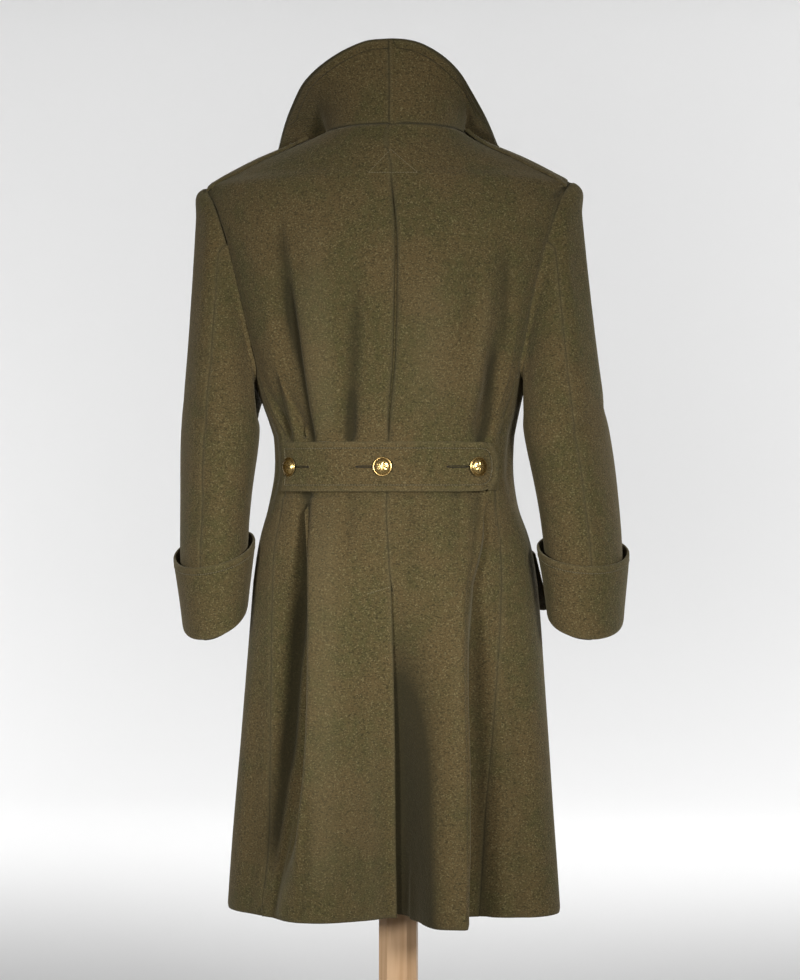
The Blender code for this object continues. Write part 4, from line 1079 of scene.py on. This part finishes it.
class Buttonholes:
    """Worked buttonholes: a whipped ring of dark thread; the cloth inside it is not cut."""

    points, sides = 40, 6
    half_height, cord, swelling = 0.00095, 0.00058, 0.18

    def __init__(self, thread: Material, tree: BVHTree) -> None:
        """Keeps the thread and the cloth that the holes are cut in.

        Args:
            thread: The thread's finish.
            tree: The cloth's outer face.
        """
        self.thread, self.tree = thread, tree

    def build(self, name: str, side: Side, height: float, spans: tuple) -> None:
        """Works one or more holes at a height.

        Args:
            name: The piece's name.
            side: The side that they are on.
            height: Their height.
            spans: Where each starts and ends across that side.
        """
        bm = bmesh.new()
        for low, high in spans:
            middle, half = (low + high) / 2, (high - low) / 2
            turns = [math.tau * i / self.points for i in range(self.points)]
            ring = [(middle + math.copysign(abs(math.cos(a)) ** 0.5, math.cos(a)) * half,
                     height + math.sin(a) * self.half_height) for a in turns]
            placed = met([self.tree], side, ring)
            loops = []
            for i, (place, normal) in enumerate(placed):
                ahead = (placed[(i + 1) % len(placed)][0] - placed[i - 1][0]).normalized()
                wide = normal.cross(ahead).normalized()
                swell = self.cord * (1.0 + self.swelling * (i % 2))
                loops.append([bm.verts.new(place + wide * math.cos(t) * swell + normal * math.sin(t) * swell)
                              for t in np.linspace(0, math.tau, self.sides, endpoint=False)])
            for i, loop in enumerate(loops):
                after = loops[(i + 1) % len(loops)]
                for j in range(self.sides):
                    k = (j + 1) % self.sides
                    bm.faces.new((loop[j], loop[k], after[k], after[j]))
        bmesh.ops.recalc_face_normals(bm, faces=bm.faces)
        shown(name, mesh_of(bm, name), self.thread)


@dataclass
class Buttons:
    """Domed brass buttons, with a plain rosette in low relief inside a rim.

    The profile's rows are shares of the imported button's radius and height. The dome goes on from
    its last row, and the rosette and groove are placed by shares of the radius.
    """

    rings: int = 14
    steps: int = 48
    petals: int = 8
    profile: tuple = ((0.0, 0.0), (0.16, 0.0), (0.16, 0.30), (0.90, 0.30), (0.985, 0.335), (1.0, 0.40),
                      (0.965, 0.46), (0.90, 0.455), (0.86, 0.46))
    dome: float = 0.82
    dome_foot: float = 0.50
    relief: float = 0.0007
    rosette: float = 0.38
    rosette_width: float = 0.26
    groove: float = 0.87
    groove_width: float = 0.05

    def build(self) -> None:
        """Makes a finer button in the place of each packed one."""
        brass = Brass().material()
        nodes = sorted(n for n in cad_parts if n.startswith("button_"))
        for node in nodes:
            self._button(node, brass)
        LOG.info("%d buttons", len(nodes))

    def _button(self, node: str, brass: Material) -> None:
        """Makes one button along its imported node's own axis.

        Args:
            node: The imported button.
            brass: The metal's finish.
        """
        points = coordinates(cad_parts[node].data)
        middle = (points.min(0) + points.max(0)) / 2
        axis = np.linalg.svd(points - points.mean(0), full_matrices=False)[2][2]
        axis = axis if axis @ np.array([middle[0], middle[1], 0.0]) > 0 else -axis
        heights = (points - middle) @ axis
        foot = middle + axis * heights.min()
        off = (points - middle) - np.outer(heights, axis)
        radius, tall = float(np.linalg.norm(off, axis=1).max()), float(np.ptp(heights))
        dome = [(self.dome * math.cos(a), self.dome_foot + (1 - self.dome_foot) * math.sin(a))
                for a in np.linspace(0.0, math.pi / 2, self.rings)]
        bm = bmesh.new()
        line = [bm.verts.new((r * radius, 0.0, h * tall)) for r, h in (*self.profile, *dome)]
        edges = [bm.edges.new(pair) for pair in zip(line, line[1:])]
        bmesh.ops.spin(bm, geom=line + edges, cent=(0, 0, 0), axis=(0, 0, 1), angle=math.tau,
                       steps=self.steps, use_merge=True)
        bmesh.ops.remove_doubles(bm, verts=bm.verts, dist=WELD)
        bmesh.ops.recalc_face_normals(bm, faces=bm.faces)
        shade_and_tarnish = self._relief(bm, radius, tall)
        turn = Vector(axis).to_track_quat("Z", "Y").to_matrix().to_4x4()
        bmesh.ops.transform(bm, matrix=Matrix.Translation(Vector(foot)) @ turn, verts=bm.verts)
        mesh = mesh_of(bm, node)
        write(mesh, "shade_and_tarnish", shade_and_tarnish)
        made = shown("brass_" + node, mesh, brass)
        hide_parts(node)

    def _relief(self, bm: BMesh, radius: float, tall: float) -> np.ndarray:
        """Raises the rosette on the dome.

        Args:
            bm: The turned button.
            radius: Its radius.
            tall: Its height.

        Returns:
            How far each point lies in the groove or between the petals, from 0 to 1, where the brass is
            tarnished.
        """
        shade_and_tarnish = []
        for point in bm.verts:
            reach = math.hypot(point.co.x, point.co.y) / radius
            petal = 0.5 + 0.5 * math.cos(self.petals * math.atan2(point.co.y, point.co.x))
            on_dome = point.co.z > 0.55 * tall
            inside = max(0.0, 1 - abs(reach - self.rosette) / self.rosette_width) if on_dome else 0.0
            point.co.z += self.relief * inside * (petal - 0.45)
            groove = math.exp(-(((reach - self.groove) / self.groove_width) ** 2))
            shade_and_tarnish.append(min(1.0, groove + 0.8 * inside * (1 - petal)))
        return np.array(shade_and_tarnish)


class DressForm:
    """The limbless form under the coat, and the timber stand that carries it."""

    def build(self) -> None:
        """Makes the form's smooth cover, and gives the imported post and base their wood."""
        bm = packed_copy("form")
        bmesh.ops.join_triangles(bm, faces=bm.faces, angle_face_threshold=math.radians(40),
                                 angle_shape_threshold=math.radians(60))
        cover = shown("form_cover", mesh_of(bm, "form_cover"), Linen().material())
        rounded(cover, 1, "ALL")
        applied(cover)
        cover.data.shade_smooth()
        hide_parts("form")
        wood = {"post": (1.0, 1.0, 0.05), "base": (0.06, 1.0, 1.0)}
        for node, along in wood.items():
            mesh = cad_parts[node].data
            mesh.materials.clear()
            mesh.materials.append(Timber().material("timber_" + node, along))
        LOG.info("dress form, post and base")


# Studio


@dataclass(frozen=True)
class Lamp:
    """A round soft lamp, its sizes in metres, watts and degrees."""

    name: str
    place: tuple[float, float, float]
    size: float
    power: float
    spread: float
    aim: tuple[float, float, float]

    def build(self) -> None:
        """Hangs the lamp and turns it to what it lights."""
        light = bpy.data.lights.new(self.name, "AREA")
        light.shape, light.size, light.energy = "DISK", self.size, self.power
        light.spread = math.radians(self.spread)
        lamp = linked(self.name, light)
        lamp.location = self.place
        lamp.rotation_euler = (Vector(self.aim) - Vector(self.place)).to_track_quat("-Z", "Y").to_euler()


@dataclass
class Studio:
    """The camera at the photo's place, a pale sweep and soft lamps."""

    width_px: int = 800
    height_px: int = 980
    far: float = 3.2
    azimuth: float = 5.0
    level: float = 1.0
    frame_height: float = 1.307
    axis_px: float = 398.5
    sensor: float = 36.0
    world_light: float = 0.10

    def build(self) -> None:
        """Makes the camera, the sweep and the lights."""
        scene = bpy.context.scene
        scene.view_settings.view_transform = "Standard"
        scene.view_settings.look = "None"
        self._camera()
        self._sweep()
        self._lights()

    def _camera(self) -> None:
        """Sets a level camera whose long side takes in the photo's height at the coat's middle."""
        turn = math.radians(self.azimuth)
        lens = bpy.data.cameras.new("camera")
        lens.sensor_width = self.sensor
        lens.lens = self.sensor * self.far / self.frame_height
        lens.shift_x = (self.width_px / 2 - self.axis_px) / self.height_px
        camera = linked("camera", lens)
        camera.location = (self.far * math.sin(turn), -self.far * math.cos(turn), self.level)
        camera.rotation_euler = (math.pi / 2, 0.0, turn)
        bpy.context.scene.camera = camera

    def _sweep(self) -> None:
        """Makes a floor that bends up into a wall behind the coat."""
        bend, wide, deep, tall, steps, back = 3.0, 9.0, 7.0, 8.0, 24, 4.4
        bm = bmesh.new()
        line = [(-deep, 0.0)]
        line += [(back + bend * math.sin(a), bend * (1 - math.cos(a)))
                 for a in np.linspace(0.0, math.pi / 2, steps)]
        line.append((back + bend, tall))
        verts = [bm.verts.new((-wide, y, z)) for y, z in line]
        edges = [bm.edges.new(pair) for pair in zip(verts, verts[1:])]
        grown = bmesh.ops.extrude_edge_only(bm, edges=edges)["geom"]
        bmesh.ops.translate(bm, vec=(2 * wide, 0, 0),
                            verts=[g for g in grown if isinstance(g, BMVert)])
        bmesh.ops.recalc_face_normals(bm, faces=bm.faces)
        sweep = linked("sweep", mesh_of(bm, "sweep"))
        paper = Shader("sweep_paper").finish((0.80, 0.80, 0.80), None, Roughness=0.95, Specular_IOR_Level=0.1)
        sweep.data.materials.append(paper)
        sweep.data.shade_smooth()

    def _lights(self) -> None:
        """Sets a pale world and large soft lamps."""
        world = bpy.data.worlds.new("studio")
        bpy.context.scene.world = world
        world.use_nodes = True
        light, strength = world.node_tree.nodes["Background"].inputs[:2]
        light.default_value, strength.default_value = (1.0, 1.0, 1.0, 1.0), self.world_light
        lamps = (
            ("key_right", (1.15, -2.35, 1.40), 0.5, 4.4, 54.0, (-0.20, 0.0, 0.84)),
            ("key_left", (-0.90, -2.45, 1.10), 0.5, 3.3, 56.0, (0.0, 0.0, 0.84)),
            ("wall_left", (-3.9, 3.4, 1.7), 3.0, 150.0, 180.0, (0.8, 6.4, 0.5)),
            ("wall_right", (3.9, 3.4, 1.7), 3.0, 188.0, 180.0, (-0.8, 6.4, 0.5)),
            ("floor", (0.0, 3.3, 3.2), 2.0, 15.0, 95.0, (0.0, 3.6, 0.0)),
        )
        for row in lamps:
            Lamp(*row).build()


def main() -> None:
    """Builds the studio, the stand and the coat."""
    logging.basicConfig(level=logging.INFO, format="%(name)s: %(message)s")
    Studio().build()
    DressForm().build()
    Greatcoat().build()
    Buttons().build()


if __name__ == "__main__":
    main()
